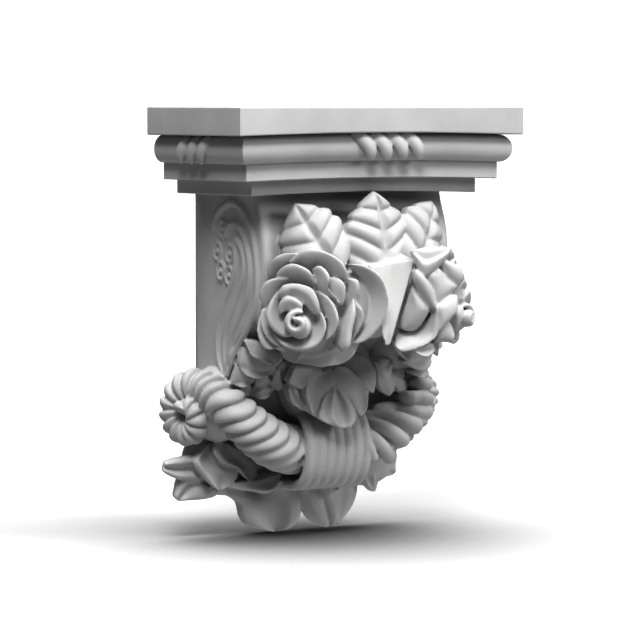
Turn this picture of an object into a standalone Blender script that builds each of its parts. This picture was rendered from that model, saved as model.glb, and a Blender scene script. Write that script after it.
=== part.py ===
"""A moulded polyurethane corbel: a moulded capital over a scrolled console that carries two roses,
leaves, a pair of ribbed horns tied by cords, lilies and two hanging lobes.

The casting is one solid. X runs across the wall, the wall face is the plane Y = 0, the front looks
along -Y and Z is up. The origin is on the wall face, on the centre line, level with the underside of
the capital. Sizes are in millimetres and the mesh is written in metres.
"""
import math

import bmesh
import bpy
import numpy as np

# Capital, from the top down: slab, torus and two flat bands
SLAB_WIDTH = 300.0
SLAB_DEPTH = 155.0
SLAB_HEIGHT = 25.0
SLAB_EDGE = 1.5
TORUS_HEIGHT = 24.5
TORUS_INSET = 16.0
TORUS_BULGE = 9.0
BAND_1_HEIGHT = 15.0
BAND_1_INSET = 17.0
BAND_2_HEIGHT = 12.5
BAND_2_INSET = 31.0
ARCH_RISE = 2.4
FLUTE_COUNT = 4
FLUTE_PITCH = 15.5
FLUTE_SLANT = 9.0
ARCH_STEPS = 12
TORUS_STEPS = 8

# Console: width across the wall, then depth from the wall at levels below the capital
BODY_WIDTH = 200.0
BODY_LEVELS = (
    (98.0, -4.0),
    (101.0, 8.0),
    (109.0, 30.0),
    (112.0, 55.0),
    (108.0, 86.0),
    (91.0, 110.0),
    (71.0, 129.0),
    (58.0, 150.0),
    (50.0, 180.0),
    (40.0, 215.0),
    (24.0, 245.0),
    (12.0, 272.0),
)
BODY_TAPER_START = 165.0
BODY_TAPER_WIDTH = 96.0
BODY_EDGE = 5.0

# Scroll carved on each side of the console
SCROLL_RISE = 3.6
SCROLL_WIDTH = 7.0
RING_RADIUS = 8.7
RING_WIRE = 2.6

# Roses: eye of the flower, the turn of its face from the front and the dome under its petals
ROSE_X = 93.0
ROSE_DEPTH = 157.0
ROSE_DROP = 110.0
ROSE_YAW = 33.4
ROSE_DOME = 39.0
ROSE_HEIGHT = 30.0
ROSE_BULGE = 0.016
CURL_RADIUS = 12.5

# Ribbed horns: tube radius at the tie, at the turn and at the tip, then the ribs and the volute
HORN_RADIUS = 21.5
HORN_TURN_RADIUS = 19.0
HORN_TIP_RADIUS = 8.5
HORN_RIB_PITCH = 15.5
HORN_RIB_RISE = 4.2
HORN_LAY = 30.0
VOLUTE_X = 125.0
VOLUTE_DEPTH = 28.0
VOLUTE_DROP = 196.0
VOLUTE_RADIUS = 25.0
VOLUTE_YAW = 72.0
VOLUTE_THROW = 16.0

# Cords that tie the horns together
CORD_COUNT = 7
CORD_PITCH = 9.9
CORD_RADIUS = 5.8
TIE_DEPTH = 44.0
TIE_DROP = 229.0
TIE_REACH = 37.0
TIE_HALF_HEIGHT = 34.0
TIE_SQUARENESS = 0.6

# Lilies and the two lobes at the foot
LILY_X = 107.0
LILY_DEPTH = 22.0
LILY_DROP = 253.0
LOBE_X = 27.5
LOBE_DEPTH = 16.0
LOBE_BOTTOM = 307.0
LOBE_WIDTH = 46.0

# Forms run on behind the wall face by this much before they are cut flat
OVERRUN = 12.0

# Fusing of the carved forms
VOXEL = 1.5
TRIANGLES = 8400

CAPITAL_HEIGHT = SLAB_HEIGHT + TORUS_HEIGHT + BAND_1_HEIGHT + BAND_2_HEIGHT


def vec(*values):
    return np.array(values, dtype=float)


def unit(v):
    return v / max(np.linalg.norm(v), 1e-9)


class Shells:
    """Closed shells of one mesh, in millimetres."""

    def __init__(self):
        self.verts = []
        self.faces = []

    def add(self, verts, faces):
        start = len(self.verts)
        self.verts.extend(map(tuple, verts))
        self.faces.extend([tuple(i + start for i in face) for face in faces])

    def mirror(self):
        """The same shells on the other side of the plane X = 0."""
        other = Shells()
        other.verts = [(-x, y, z) for x, y, z in self.verts]
        other.faces = [face[::-1] for face in self.faces]
        return other

    def join(self, other):
        self.add(other.verts, other.faces)


def curve(points, steps):
    """Catmull-Rom curve through the points, the ends included."""
    p = np.array(points, dtype=float)
    p = np.vstack([2 * p[0] - p[1], p, 2 * p[-1] - p[-2]])
    out = []
    for i in range(1, len(p) - 2):
        for k in range(steps):
            t = k / steps
            out.append(0.5 * (2 * p[i] + (p[i + 1] - p[i - 1]) * t
                              + (2 * p[i - 1] - 5 * p[i] + 4 * p[i + 1] - p[i + 2]) * t * t
                              + (3 * p[i] - p[i - 1] - 3 * p[i + 1] + p[i + 2]) * t ** 3))
    out.append(p[-2])
    return np.array(out)


def loft(rings):
    """Closed shell through rings of equal count, capped by a fan at each end."""
    rings = np.array(rings, dtype=float)
    count, sides = rings.shape[:2]
    verts = list(rings.reshape(-1, 3))
    faces = []
    for i in range(count - 1):
        for k in range(sides):
            a = i * sides + k
            b = i * sides + (k + 1) % sides
            faces.append((a, b, b + sides, a + sides))
    for ring, flip in ((0, True), (count - 1, False)):
        verts.append(rings[ring].mean(axis=0))
        hub = len(verts) - 1
        for k in range(sides):
            a = ring * sides + k
            b = ring * sides + (k + 1) % sides
            faces.append((b, a, hub) if flip else (a, b, hub))
    return verts, faces


def oval(sides, full=1.0):
    """Section of half width and half height one. Below one, full squares it off."""
    turns = [2 * math.pi * k / sides for k in range(sides)]
    return [(math.copysign(abs(math.cos(a)) ** full, math.cos(a)),
             math.copysign(abs(math.sin(a)) ** full, math.sin(a))) for a in turns]


def tube(path, widths, heights, face, section=None):
    """Closed tube: half widths across the face direction, half heights along it."""
    path = np.array(path, dtype=float)
    tangents = np.gradient(path, axis=0)
    faces = np.broadcast_to(np.array(face, dtype=float), path.shape)
    section = section or oval(14)
    rings = []
    for p, t, n, w, h in zip(path, tangents, faces, widths, heights):
        t = unit(t)
        b = unit(np.cross(t, n))
        n = unit(np.cross(b, t))
        rings.append([p + b * x * w + n * y * h for x, y in section])
    return loft(rings)


def taper(count, start=0.25, end=0.25, power=0.5):
    """Size factors along a form that is full in the middle and closes at both ends."""
    f = np.linspace(0, 1, count)
    a = np.clip((f + 0.02) / max(start, 1e-6), 0, 1)
    b = np.clip((1.02 - f) / max(end, 1e-6), 0, 1)
    return (np.sin(a * math.pi / 2) * np.sin(b * math.pi / 2)) ** power


def blob(centre, radii, axes=None, rings=12, sides=18):
    """Closed ellipsoid."""
    axes = np.eye(3) if axes is None else np.array(axes)
    out = []
    for i in range(rings + 1):
        a = math.pi * (i + 0.08) / (rings + 0.16)
        ring = []
        for k in range(sides):
            b = 2 * math.pi * k / sides
            local = vec(math.sin(a) * math.cos(b), math.sin(a) * math.sin(b), math.cos(a)) * radii
            ring.append(np.array(centre) + local @ axes)
        out.append(ring)
    return loft(out)


def flower_frame(yaw, tilt):
    """Right, up and outward directions of a flower turned by yaw towards -X and tilted down."""
    y, t = math.radians(yaw), math.radians(tilt)
    right = vec(math.cos(y), -math.sin(y), 0)
    out = vec(-math.sin(y) * math.cos(t), -math.cos(y) * math.cos(t), -math.sin(t))
    return np.array([right, np.cross(out, right), out])


def capital(arch_steps=ARCH_STEPS, torus_steps=TORUS_STEPS):
    """The mouldings: a stack of rectangles whose front edge bows up towards the middle."""
    top = CAPITAL_HEIGHT
    steps = []
    level = top
    steps += [(SLAB_EDGE, level, 0.0), (SLAB_EDGE * 0.3, level - SLAB_EDGE * 0.3, 0.0),
              (0.0, level - SLAB_EDGE, 0.0)]
    level -= SLAB_HEIGHT
    steps += [(0.0, level + SLAB_EDGE, 0.9), (SLAB_EDGE * 0.3, level + SLAB_EDGE * 0.3, 1.0),
              (SLAB_EDGE, level, 1.0)]
    for i in range(torus_steps + 1):
        a = math.pi * i / torus_steps
        steps.append((TORUS_INSET - TORUS_BULGE * math.sin(a),
                      level - TORUS_HEIGHT * (1 - math.cos(a)) / 2, 1.0))
    level -= TORUS_HEIGHT
    steps.append((BAND_1_INSET, level, 1.0))
    level -= BAND_1_HEIGHT
    steps += [(BAND_1_INSET, level + SLAB_EDGE / 2, 1.0), (BAND_1_INSET + SLAB_EDGE / 2, level, 1.0),
              (BAND_2_INSET, level + SLAB_EDGE / 2, 1.0)]
    level -= BAND_2_HEIGHT
    steps += [(BAND_2_INSET, level + SLAB_EDGE / 2, 1.0), (BAND_2_INSET + SLAB_EDGE / 2, level, 1.0)]
    verts = []
    faces = []
    n = arch_steps + 1
    for inset, z, share in steps:
        half = SLAB_WIDTH / 2 - inset
        for i in range(n):
            x = -half + 2 * half * i / arch_steps
            rise = ARCH_RISE * share * (1 - (x / half) ** 2)
            verts.append((x, -(SLAB_DEPTH - inset), z + rise))
        verts.append((-half, OVERRUN / 2, z))
        verts.append((half, OVERRUN / 2, z))
    count = n + 2
    for s in range(len(steps) - 1):
        a = s * count
        b = a + count
        for i in range(n - 1):
            faces.append((a + i, b + i, b + i + 1))
            faces.append((a + i, b + i + 1, a + i + 1))
        faces.append((a, a + n, b + n, b))
        faces.append((a + n - 1, b + n - 1, b + n + 1, a + n + 1))
    last = (len(steps) - 1) * count
    left = [s * count + n for s in range(len(steps))]
    right = [s * count + n + 1 for s in range(len(steps))]
    faces.append(tuple(left[::-1] + right))
    faces.append(tuple(range(n)) + (n + 1, n))
    middle = arch_steps // 2
    for i in range(n - 1):
        faces.append((last + i + 1, last + i, last + n + (i >= middle)))
    faces.append((last + middle, last + n, last + n + 1))
    shell = Shells()
    shell.add(verts, faces)
    return shell


def body(steps=6):
    """The console: an upright slab with a scrolled front, narrower at the foot."""
    levels = curve([(d, drop, 0) for d, drop in BODY_LEVELS], steps)
    rings = []
    for depth, drop, _ in levels:
        half = BODY_WIDTH / 2
        low = BODY_LEVELS[-1][1]
        if drop > BODY_TAPER_START:
            f = (drop - BODY_TAPER_START) / (low - BODY_TAPER_START)
            half += (BODY_TAPER_WIDTH / 2 - half) * f ** 1.3
        ring = [(half, OVERRUN, -drop), (-half, OVERRUN, -drop)]
        for side, turn in ((-1, (180, 270)), (1, (270, 360))):
            for k in range(4):
                a = math.radians(turn[0] + (turn[1] - turn[0]) * k / 3)
                ring.append((side * (half - BODY_EDGE) + BODY_EDGE * math.cos(a),
                             -(depth - BODY_EDGE) + BODY_EDGE * math.sin(a), -drop))
        rings.append(ring)
    return loft(rings)


def scroll_relief(out, detail):
    """Raised scroll bands and rings on the left side face."""
    x = -BODY_WIDTH / 2
    side = vec(-1, 0, 0)
    steps = 6 * detail
    bands = (
        (((33, 33), (36, 21), (47, 12), (63, 7), (80, 12), (92, 24), (99, 40), (103, 60), (104, 84),
          (99, 101), (86, 118), (71, 135), (61, 150), (55, 162)), SCROLL_WIDTH, SCROLL_RISE),
        (((53, 38), (58, 29), (69, 26), (80, 33), (87, 46), (92, 60), (92, 76), (86, 92), (74, 108),
          (63, 124), (56, 140), (52, 161)), SCROLL_WIDTH, SCROLL_RISE),
        (((68, 38), (79, 48), (83, 62), (79, 76), (66, 97), (55, 115), (49, 133), (50, 160)),
         SCROLL_WIDTH, SCROLL_RISE),
        (((66, 40), (69, 53), (68, 67), (60, 82), (49, 98), (41, 116), (38, 134), (41, 151), (50, 161)),
         SCROLL_WIDTH * 0.8, SCROLL_RISE),
    )
    for points, width, rise in bands:
        path = curve([(x, -d, -drop) for d, drop in points], steps)
        f = taper(len(path), 0.08, 0.5, 0.6)
        out.add(*tube(path, width / 2 * (0.35 + 0.65 * f), rise * (0.4 + 0.6 * f), side, oval(10)))
    for d, drop in ((47, 31), (38.5, 51), (59, 52.5), (44, 68.5), (58, 72)):
        ring = [(x, -d + RING_RADIUS * 0.72 * math.cos(a), -drop + RING_RADIUS * 0.9 * math.sin(a))
                for a in np.linspace(0, 2 * math.pi, 14 * detail + 1)]
        size = np.full(len(ring), RING_WIRE * 0.75)
        out.add(*tube(ring, size, size * 1.2, side, oval(8)))
        out.add(*blob((x, -d, -drop), (3.2, 2.6, 2.6)))


def finger(root, tip, face, width, height, bow=0.0, start=0.2, end=0.4, steps=8, sides=12, full=1.0):
    """A puffy tapered lobe from root to tip, bowed towards its face in the middle."""
    root, tip, face = np.array(root, float), np.array(tip, float), np.array(face, float)
    f = np.linspace(0, 1, steps + 1)[:, None]
    path = root + (tip - root) * f + face * bow * np.sin(f * math.pi)
    size = taper(steps + 1, start, end)
    return tube(path, width / 2 * size, height / 2 * size, face, oval(sides, full))


def leaf(out, base, tip, face, spread, pairs, thick=6.0, bulge=3.0, fall=6.0, bend=4.0, rake=0.7,
         notch=0.15, sway=0.0, point=0.75, fold=0.0, folds=1.5, detail=1):
    """A leaf or petal cast as one sheet: lobes in pairs with a crease between them, raked towards the
    tip, and a sunk midrib. It falls back at its edges, bends towards its face, sways to one side and
    can be pleated lengthwise."""
    base, tip, face = np.array(base, float), np.array(tip, float), unit(np.array(face, float))
    along = unit(tip - base)
    face = unit(face - along * np.dot(face, along))
    across = np.cross(along, face)
    length = np.linalg.norm(tip - base)
    steps = max(pairs * 9, 14) * detail
    half = 6 * detail
    rows = []
    for i in range(steps + 1):
        u = 1 - (1 - i / steps) ** 1.5
        q = (u * pairs) % 1.0 if i < steps else 1.0
        lobe = math.sin(math.pi * q ** 0.8) ** 0.55 if 0 < q < 1 else 0.0
        girth = math.sin(math.pi * min(1.0, 0.24 + 0.76 * u)) ** point
        reach = max(spread * girth * (1 - notch * (1 - lobe)), 0.8)
        top = []
        for k in range(-half, half + 1):
            v = k / half
            a = abs(v)
            rise = bulge * lobe * min(1.0, a * 4.5) * (1 - a ** 5) - fall * girth * a ** 2.2
            rise += bend * math.sin(math.pi * u)
            rise += fold * math.cos(2 * math.pi * folds * v) * min(1.0, 2 * u) * min(1.0, 3 - 3 * u)
            top.append(base + along * (u * length + rake * a * reach * (1 - u * u))
                       + across * (v * reach + sway * math.sin(math.pi * u)) + face * rise)
        back = thick * (0.35 + 0.65 * girth)
        under = [p - face * back - across * 0.12 * back * (k - half) / half for k, p in enumerate(top)]
        rows.append(top + under[::-1])
    out.add(*loft(rows))


def smooth_petal(out, base, tip, face, spread, thick=7.0, fall=5.0, bend=4.0, point=0.5, fold=0.0,
                 folds=1.5, sway=0.0, detail=1):
    """A broad petal without lobes."""
    leaf(out, base, tip, face, spread, 1, thick, 0.0, fall, bend, 0.0, 0.0, sway, point, fold, folds, detail)


def evenly(points, count):
    """Points at equal steps along a smooth curve."""
    path = curve(points, 8)
    run = np.concatenate([[0], np.cumsum(np.linalg.norm(np.diff(path, axis=0), axis=1))])
    steps = np.linspace(0, run[-1], count)
    return np.stack([np.interp(steps, run, path[:, k]) for k in range(3)], axis=1)


def sheet(out, first, second, face, heights, thick=7.0, detail=1):
    """A petal stretched between two edge curves. The heights are those of its face from the first
    edge across to the second."""
    steps = 12 * detail
    half = 10 * detail
    face = unit(np.array(face, float))
    a = evenly(first, steps + 1)
    b = evenly(second, steps + 1)
    b = b + unit((b - a).mean(axis=0)) * 0.8
    level = evenly([(i / (len(heights) - 1), h, 0) for i, h in enumerate(heights)], half + 1)
    level = np.interp(np.linspace(0, 1, half + 1), level[:, 0], level[:, 1])
    rings = []
    for i in range(steps + 1):
        reach = min(1.0, np.linalg.norm(b[i] - a[i]) / 12)
        top = [a[i] + (b[i] - a[i]) * k / half + face * level[k] * reach for k in range(half + 1)]
        under = [p - face * thick * (0.6 + 0.4 * reach) for p in top]
        rings.append(top + under[::-1])
    out.add(*loft(rings))


def petal(out, frame, origin, row, thick, detail=1, lean=1.0):
    """A rolled petal: a crescent band along an arc in the flower's own plane. The row holds the centre
    and radius of the arc, its start and end angles, the width of the band and its depths at the start,
    the middle and the end."""
    cx, cy, radius, start, end, width, first, middle, last = row
    steps = 9 * detail
    a = np.radians(np.linspace(start, end, steps + 1))
    f = np.linspace(0, 1, steps + 1)
    x = cx + radius * np.cos(a)
    y = cy + radius * np.sin(a)
    level = first * (1 - f) + last * f + (middle - (first + last) / 2) * np.sin(f * math.pi)
    path = np.array(origin) + np.stack([x, y, level], axis=1) @ frame
    tilt = ROSE_BULGE * lean
    face = np.stack([x * tilt, (y - 8) * tilt, np.ones(steps + 1)], axis=1) @ frame
    size = taper(steps + 1, 0.4, 0.4, 0.6)
    way = 1 if end > start else -1
    section = [(way * a, b) for a, b in PETAL_SECTION]
    out.add(*tube(path, width / 2 * (0.3 + 0.7 * size), thick / 2 * (0.45 + 0.55 * size), face, section))


# Section across a petal, from its inner edge over the rim to its outer side
PETAL_SECTION = ((-1.35, -1.0), (-1.2, -0.35), (-0.75, 0.15), (-0.2, 0.5), (0.3, 0.82), (0.7, 1.0),
                 (0.98, 0.95), (1.12, 0.62), (1.12, 0.0), (1.0, -1.0), (0.3, -1.6), (-0.8, -1.5))

# Petals of each rose, from the curled bud outwards
ROSE_PETALS = (
    (-4.2, 8.4, 10.8, 172, 11, 8.5, -8, -7, -8),
    (-2.3, 12.3, 17.0, 139, -8, 11.5, -11, -10, -12),
    (-4.8, 9.0, 20.5, 125, 262, 9.0, -17, -14, -12),
    (0.2, 0.9, 22.0, -150, 14, 9.5, -18, -16, -15),
    (8.7, 2.6, 23.0, 62, -50, 12.0, -17, -16, -20),
    (-7.0, 21.4, 21.0, 124, 22, 11.0, -19, -17, -18),
    (52.5, 48.0, 35.5, -172, -118, 10.0, -19, -18, -20),
    (13.6, 15.7, 25.0, 62, -2, 10.0, -23, -21, -22),
    (12.6, 27.0, 28.4, 128, 10, 12.0, -27, -25, -25),
    (-15.8, 21.2, 14.3, 205, 82, 9.5, -28, -22, -21),
    (-7.1, 41.7, 16.5, 195, 80, 10.5, -36, -31, -30),
    (-6.0, 2.0, 26.5, 170, 242, 6.0, -26, -24, -23),
    (-6.0, 0.0, 33.0, 182, 250, 6.5, -34, -31, -30),
)

# Broad petals of the left rose towards the centre line
BREAST_PETALS = (
    (35.1, 8.5, 21.4, 72, -86, 11.5, -26, -26, -28),
    (19.2, 13.2, 33.5, 8, -40, 11.0, -33, -32, -34),
    (34.2, 15.1, 33.5, 84, -68, 19.0, -36, -43, -38),
)

# Petals of the right rose in the plane of the left rose's face: two edges, then heights across
FLANK_PETALS = (
    (((98.9, 61.3, -62), (114.9, 64.4, -66), (136.3, 63.2, -80)),
     ((98.9, 61.3, -62), (103.7, 49.4, -58), (111.4, 40.5, -60), (129.4, 53.1, -72), (136.3, 63.2, -80)),
     (0, 3, 2, 4, 0)),
    (((126.1, 49.8, -74), (131.7, 51.9, -76), (143.1, 46.0, -86), (147.9, 35.5, -94)),
     ((126.1, 49.8, -74), (131.7, 35.3, -78), (140.9, 28.3, -86), (147.9, 35.5, -94)), (0, 4, 4, 0)),
    (((112.7, 39.1, -66), (123.8, 45.1, -70), (130.5, 37.7, -75), (140.9, 28.3, -84)),
     ((112.7, 39.1, -66), (118.2, 27.0, -68), (123.0, 14.2, -70), (140.9, 28.3, -84)), (0, 3, 3, 0)),
    (((122.2, 12.4, -69), (131.7, 18.6, -74), (140.9, 20.5, -79), (140.9, 7.2, -80)),
     ((122.2, 12.4, -69), (123.4, -3.1, -70), (126.0, -9.0, -71), (140.9, 7.2, -80)), (0, 3, 3, 0)),
    (((124.3, -7.5, -76), (133.2, -2.8, -80), (138.9, -14.1, -84), (137.3, -20.9, -86)),
     ((124.3, -7.5, -76), (121.0, -19.8, -77), (126.6, -20.6, -82), (137.3, -20.9, -86)), (0, 3, 3, 0)),
    (((138.9, 4.7, -92), (146.6, 10.0, -98), (147.1, 0.9, -100)),
     ((138.9, 4.7, -92), (141.4, -7.8, -96), (147.1, 0.9, -100)), (0, 2, 0)),
    (((102.6, 45.1, -56), (110.3, 39.5, -58), (118.1, 28.3, -62), (121.5, 12.7, -66)),
     ((102.6, 45.1, -56), (101.5, 34.1, -57), (113.8, 15.0, -64), (121.5, 9.2, -66)), (0, 3, 3, -1)),
    (((121.6, 14.6, -67), (123.8, -2.9, -69), (122.7, -13.9, -69), (112.7, -22.4, -64), (92.8, -28.6, -59),
      (85.1, -22.9, -58)),
     ((121.6, 14.6, -67), (117.3, 3.7, -73), (108.6, -7.4, -75), (98.6, -11.8, -75), (88.6, -9.4, -72),
      (85.1, -22.9, -58)), (0, 3, 1, -1)),
    (((100.5, 30.5, -64), (114.8, 11.8, -66), (113.7, 4.1, -67), (107.2, -5.9, -69), (99.6, -11.0, -71),
      (89.6, -8.0, -67)),
     ((100.5, 30.5, -64), (95.0, 13.1, -62), (90.6, -0.1, -63), (89.6, -8.0, -67)), (0, 5, 6, 3, 0)),
    (((99.4, -24.9, -63), (109.6, -22.8, -72), (117.4, -22.0, -76), (122.0, -27.8, -80)),
     ((99.4, -24.9, -63), (107.2, -31.2, -66), (115.1, -33.3, -72), (122.0, -27.8, -80)), (0, 1, -1, 2, 0)),
)

# Outer petals under each rose, which bound it from below
SEPALS = (
    (8.0, -2.0, 30.0, -135, -40, 13.0, -38, -38, -36),
    (20.0, 1.0, 38.5, -130, -35, 14.0, -50, -50, -46),
)


def flower_place(x, y, depth):
    """World point from a place in the plane of the left rose's face."""
    return vec(-ROSE_X, -ROSE_DEPTH, -ROSE_DROP) + vec(x, y, depth) @ flower_frame(ROSE_YAW, 0.0)


def rose(out, detail=1):
    """The left rose: a dome, a curled bud and rolled petals round it."""
    frame = flower_frame(ROSE_YAW, 0.0)
    eye = flower_place(0, 0, 0)
    out.add(*blob(flower_place(1, 8, -10 - ROSE_HEIGHT), (ROSE_DOME, ROSE_DOME, ROSE_HEIGHT), frame, 14, 24))
    out.add(*blob(flower_place(4, 8, -52), (ROSE_DOME * 0.8, ROSE_DOME * 0.85, 30), frame, 12, 20))
    turns = np.linspace(0, 1, 20 * detail)
    angle = np.radians(140 - 440 * turns)
    radius = 1.8 + (CURL_RADIUS - 3.8) * turns
    coil = np.stack([-0.5 + radius * np.cos(angle), 0.5 + radius * np.sin(angle), -4 - 4 * turns], axis=1)
    size = taper(len(coil), 0.15, 0.3)
    out.add(*tube(eye + coil @ frame, 2.9 * size + 0.3, 6.0 * size, frame[2]))
    out.add(*blob(flower_place(2, -2, -14), (10, 10, 7), frame))
    for row in ROSE_PETALS:
        petal(out, frame, eye, row, 11.0, detail)
    for row in SEPALS:
        petal(out, frame, eye, row, 12.0, detail, 2.2)


def breast(out, detail=1):
    """Broad petals of the left rose, which turn away towards the centre line."""
    frame = flower_frame(ROSE_YAW, 0.0)
    for row in BREAST_PETALS:
        petal(out, frame, flower_place(0, 0, 0), row, 15.0, detail)
    out.add(*blob(flower_place(42, 12, -52), (24, 34, 22), flower_frame(15.0, 0.0)))
    out.add(*finger(flower_place(41, -6, -28), flower_place(39, -26, -30), frame[2], 9, 10, 1, 0.4, 0.4))


def flank(out, detail=1):
    """The right rose as it turns its side to the left: petals that wrap round its bud."""
    frame = flower_frame(ROSE_YAW, 0.0)
    out.add(*blob(flower_place(92, 8, -84), (16, 20, 14), frame, 14, 22))
    out.add(*blob(flower_place(114, 18, -104), (29, 36, 26), frame, 14, 22))
    for first, second, heights in FLANK_PETALS:
        x, y, _ = np.mean(first + second, axis=0)
        face = frame[2] + frame[0] * (x - 108) * 0.02 + frame[1] * (y - 14) * 0.012
        sheet(out, [flower_place(*p) for p in first], [flower_place(*p) for p in second], face, heights, 8.0,
              detail)


def centre_petal(out, detail=1):
    """Folded petal between the roses: a blade with a crest on its right edge and a spike below."""
    left = flower_place(68, 40, -48)
    crest = flower_place(98, 45, -60)
    spike = flower_place(78, -22, -44)
    back = vec(0, 20, 4)
    rings = []
    for f in np.linspace(-0.12, 1, 12 * detail):
        a = left + (spike - left) * f
        b = crest + (spike - crest) * f
        mid = (a + b) / 2 + vec(0, 2.5, 0) * (1 - f)
        tip = max(1 - f, 0.06)
        width = unit(b - a) * 3.0
        rings.append([a - width, a + back * tip, b + back * tip + width, b + width,
                      b + vec(0, -2.5, 0), mid])
    out.add(*loft(rings))
    out.add(*blob((4, -122, -90), (50, 28, 38)))


def horn_path(detail):
    """Centre line of the left horn: from under the tie, out and back, then curled into a volute."""
    yaw = math.radians(VOLUTE_YAW)
    across = vec(math.cos(yaw), -math.sin(yaw), 0)
    axis = vec(-math.sin(yaw), -math.cos(yaw), 0)
    centre = vec(-VOLUTE_X, -VOLUTE_DEPTH, -VOLUTE_DROP)
    points = [vec(8, -TIE_DEPTH + 6, -TIE_DROP - 2), vec(-31, -TIE_DEPTH - 10, -TIE_DROP - 1),
              vec(-62, -TIE_DEPTH - 23, -TIE_DROP + 7), vec(-88, -TIE_DEPTH - 25, -TIE_DROP + 24),
              vec(-107, -TIE_DEPTH - 19, -TIE_DROP + 43)]
    turns = np.linspace(58, 58 + 420, 13)
    for i, turn in enumerate(turns):
        f = i / (len(turns) - 1)
        radius = VOLUTE_RADIUS * (1 - f) ** 0.75 + 1.5
        a = math.radians(turn)
        points.append(centre + across * radius * math.cos(a) + vec(0, 0, 1) * radius * math.sin(a)
                      + axis * VOLUTE_THROW * (f ** 1.5 - 0.5))
    return curve(points, 12 * detail)


def horn(out, detail=1):
    """The left horn: a tube whose surface swells in slanting ribs."""
    path = horn_path(detail)
    tangents = np.gradient(path, axis=0)
    run = np.concatenate([[0], np.cumsum(np.linalg.norm(np.diff(path, axis=0), axis=1))])
    f = run / run[-1]
    turn = 0.36
    radius = np.where(f < turn, HORN_RADIUS + (HORN_TURN_RADIUS - HORN_RADIUS) * (f / turn) ** 1.5,
                      HORN_TURN_RADIUS + (HORN_TIP_RADIUS - HORN_TURN_RADIUS)
                      * (np.clip(f - turn, 0, 1) / (1 - turn)) ** 0.9)
    radius = radius * taper(len(f), 0.001, 0.06)
    pitch = HORN_RIB_PITCH * np.maximum(radius, 4.0) / HORN_RADIUS
    ribs = np.concatenate([[0], np.cumsum(np.diff(run) / pitch[1:])])
    lay = HORN_LAY * np.clip(1.0 - (f - 0.3) / 0.3, 0.0, 1.0) / pitch
    yaw = math.radians(VOLUTE_YAW)
    axis = unit(vec(-math.sin(yaw), -math.cos(yaw) - 0.5, 0))
    sides = 30 * detail
    rings = []
    for i, p in enumerate(path):
        t = unit(tangents[i])
        n = unit(axis - t * np.dot(axis, t))
        b = np.cross(t, n)
        ring = []
        for k in range(sides):
            a = 2 * math.pi * k / sides
            q = (ribs[i] - lay[i] * (0.5 - 0.5 * math.cos(a))) % 1.0
            rib = math.sin(math.pi * q ** 0.6) ** 0.6
            size = radius[i] + HORN_RIB_RISE * (radius[i] / HORN_RADIUS) ** 0.5 * (2 * rib - 1.4)
            ring.append(p + (b * math.cos(a) + n * math.sin(a)) * size)
        rings.append(ring)
    out.add(*loft(rings))


def tie(out, detail=1):
    """Cords round the middle of the horns."""
    for i in range(CORD_COUNT):
        x = (i - (CORD_COUNT - 1) / 2) * CORD_PITCH
        a = np.radians(np.linspace(-112, 112, 16 * detail))
        reach = TIE_REACH * np.sign(np.cos(a)) * np.abs(np.cos(a)) ** TIE_SQUARENESS
        path = np.stack([np.full(len(a), x), -TIE_DEPTH - reach, -TIE_DROP - TIE_HALF_HEIGHT * np.sin(a)],
                        axis=1)
        outward = path - vec(x, -TIE_DEPTH, -TIE_DROP)
        size = np.full(len(a), CORD_RADIUS)
        out.add(*tube(path, size, size * 0.85, outward, oval(12)))
    out.add(*blob((0, -TIE_DEPTH, -TIE_DROP), (34, TIE_REACH, TIE_HALF_HEIGHT)))


# Petals of the lilies: base, tip, half width, pleat depth and pleats
RIGHT_LILY_PETALS = (
    ((82, -14, -228), (113, -12, -236), 11, 2.2, 0.8),
    ((78, -18, -244), (108, -16, -262), 12, 2.4, 1.0),
    ((66, -22, -240), (82, -20, -278), 12, 2.2, 1.0),
)
# The left lily: two edges, heights across and thickness
LILY_PETALS = (
    (((-106, -20, -229), (-118, -22, -233), (-145, -24, -237), (-148, -24, -241)),
     ((-108, -20, -259), (-122, -22, -255), (-134, -24, -253), (-148, -24, -246), (-148, -24, -241)),
      (0, 4, 1, -2, 3, 0), 9),
    (((-120, -18, -253), (-130, -18, -255), (-133, -18, -265), (-134, -18, -270), (-129, -16, -274)),
     ((-90, -22, -266), (-94, -20, -272), (-108, -18, -274), (-118, -16, -274), (-129, -16, -274)),
      (0, 3, -1, 2, 3, 0), 9),
    (((-104, -22, -224), (-119, -26, -234), (-121, -29, -240), (-114, -32, -251), (-106, -34, -260),
     (-96, -34, -266)),
     ((-91, -24, -221), (-98, -28, -231), (-93, -30, -240), (-81, -32, -246), (-77, -34, -252),
      (-83, -34, -260), (-96, -34, -266)), (0, 6, 2, -2, -3, -2, 0), 12),
    (((-96, -28, -219), (-103, -34, -230), (-97, -36, -239), (-87, -37, -243), (-80, -38, -246),
     (-75, -39, -253), (-67, -38, -258)),
     ((-80, -30, -227), (-68, -30, -235), (-58, -31, -242), (-55, -32, -248), (-59, -35, -255),
      (-67, -38, -258)), (0, 3, -1, -2, 0, 0), 9),
    (((-82, -22, -264), (-77, -30, -260), (-63, -36, -261), (-51, -40, -265), (-34, -42, -258)),
     ((-82, -22, -264), (-76, -30, -264), (-64, -38, -267), (-51, -42, -269), (-34, -42, -258)),
      (0, 2, 3, 0), 9),
)

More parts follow.
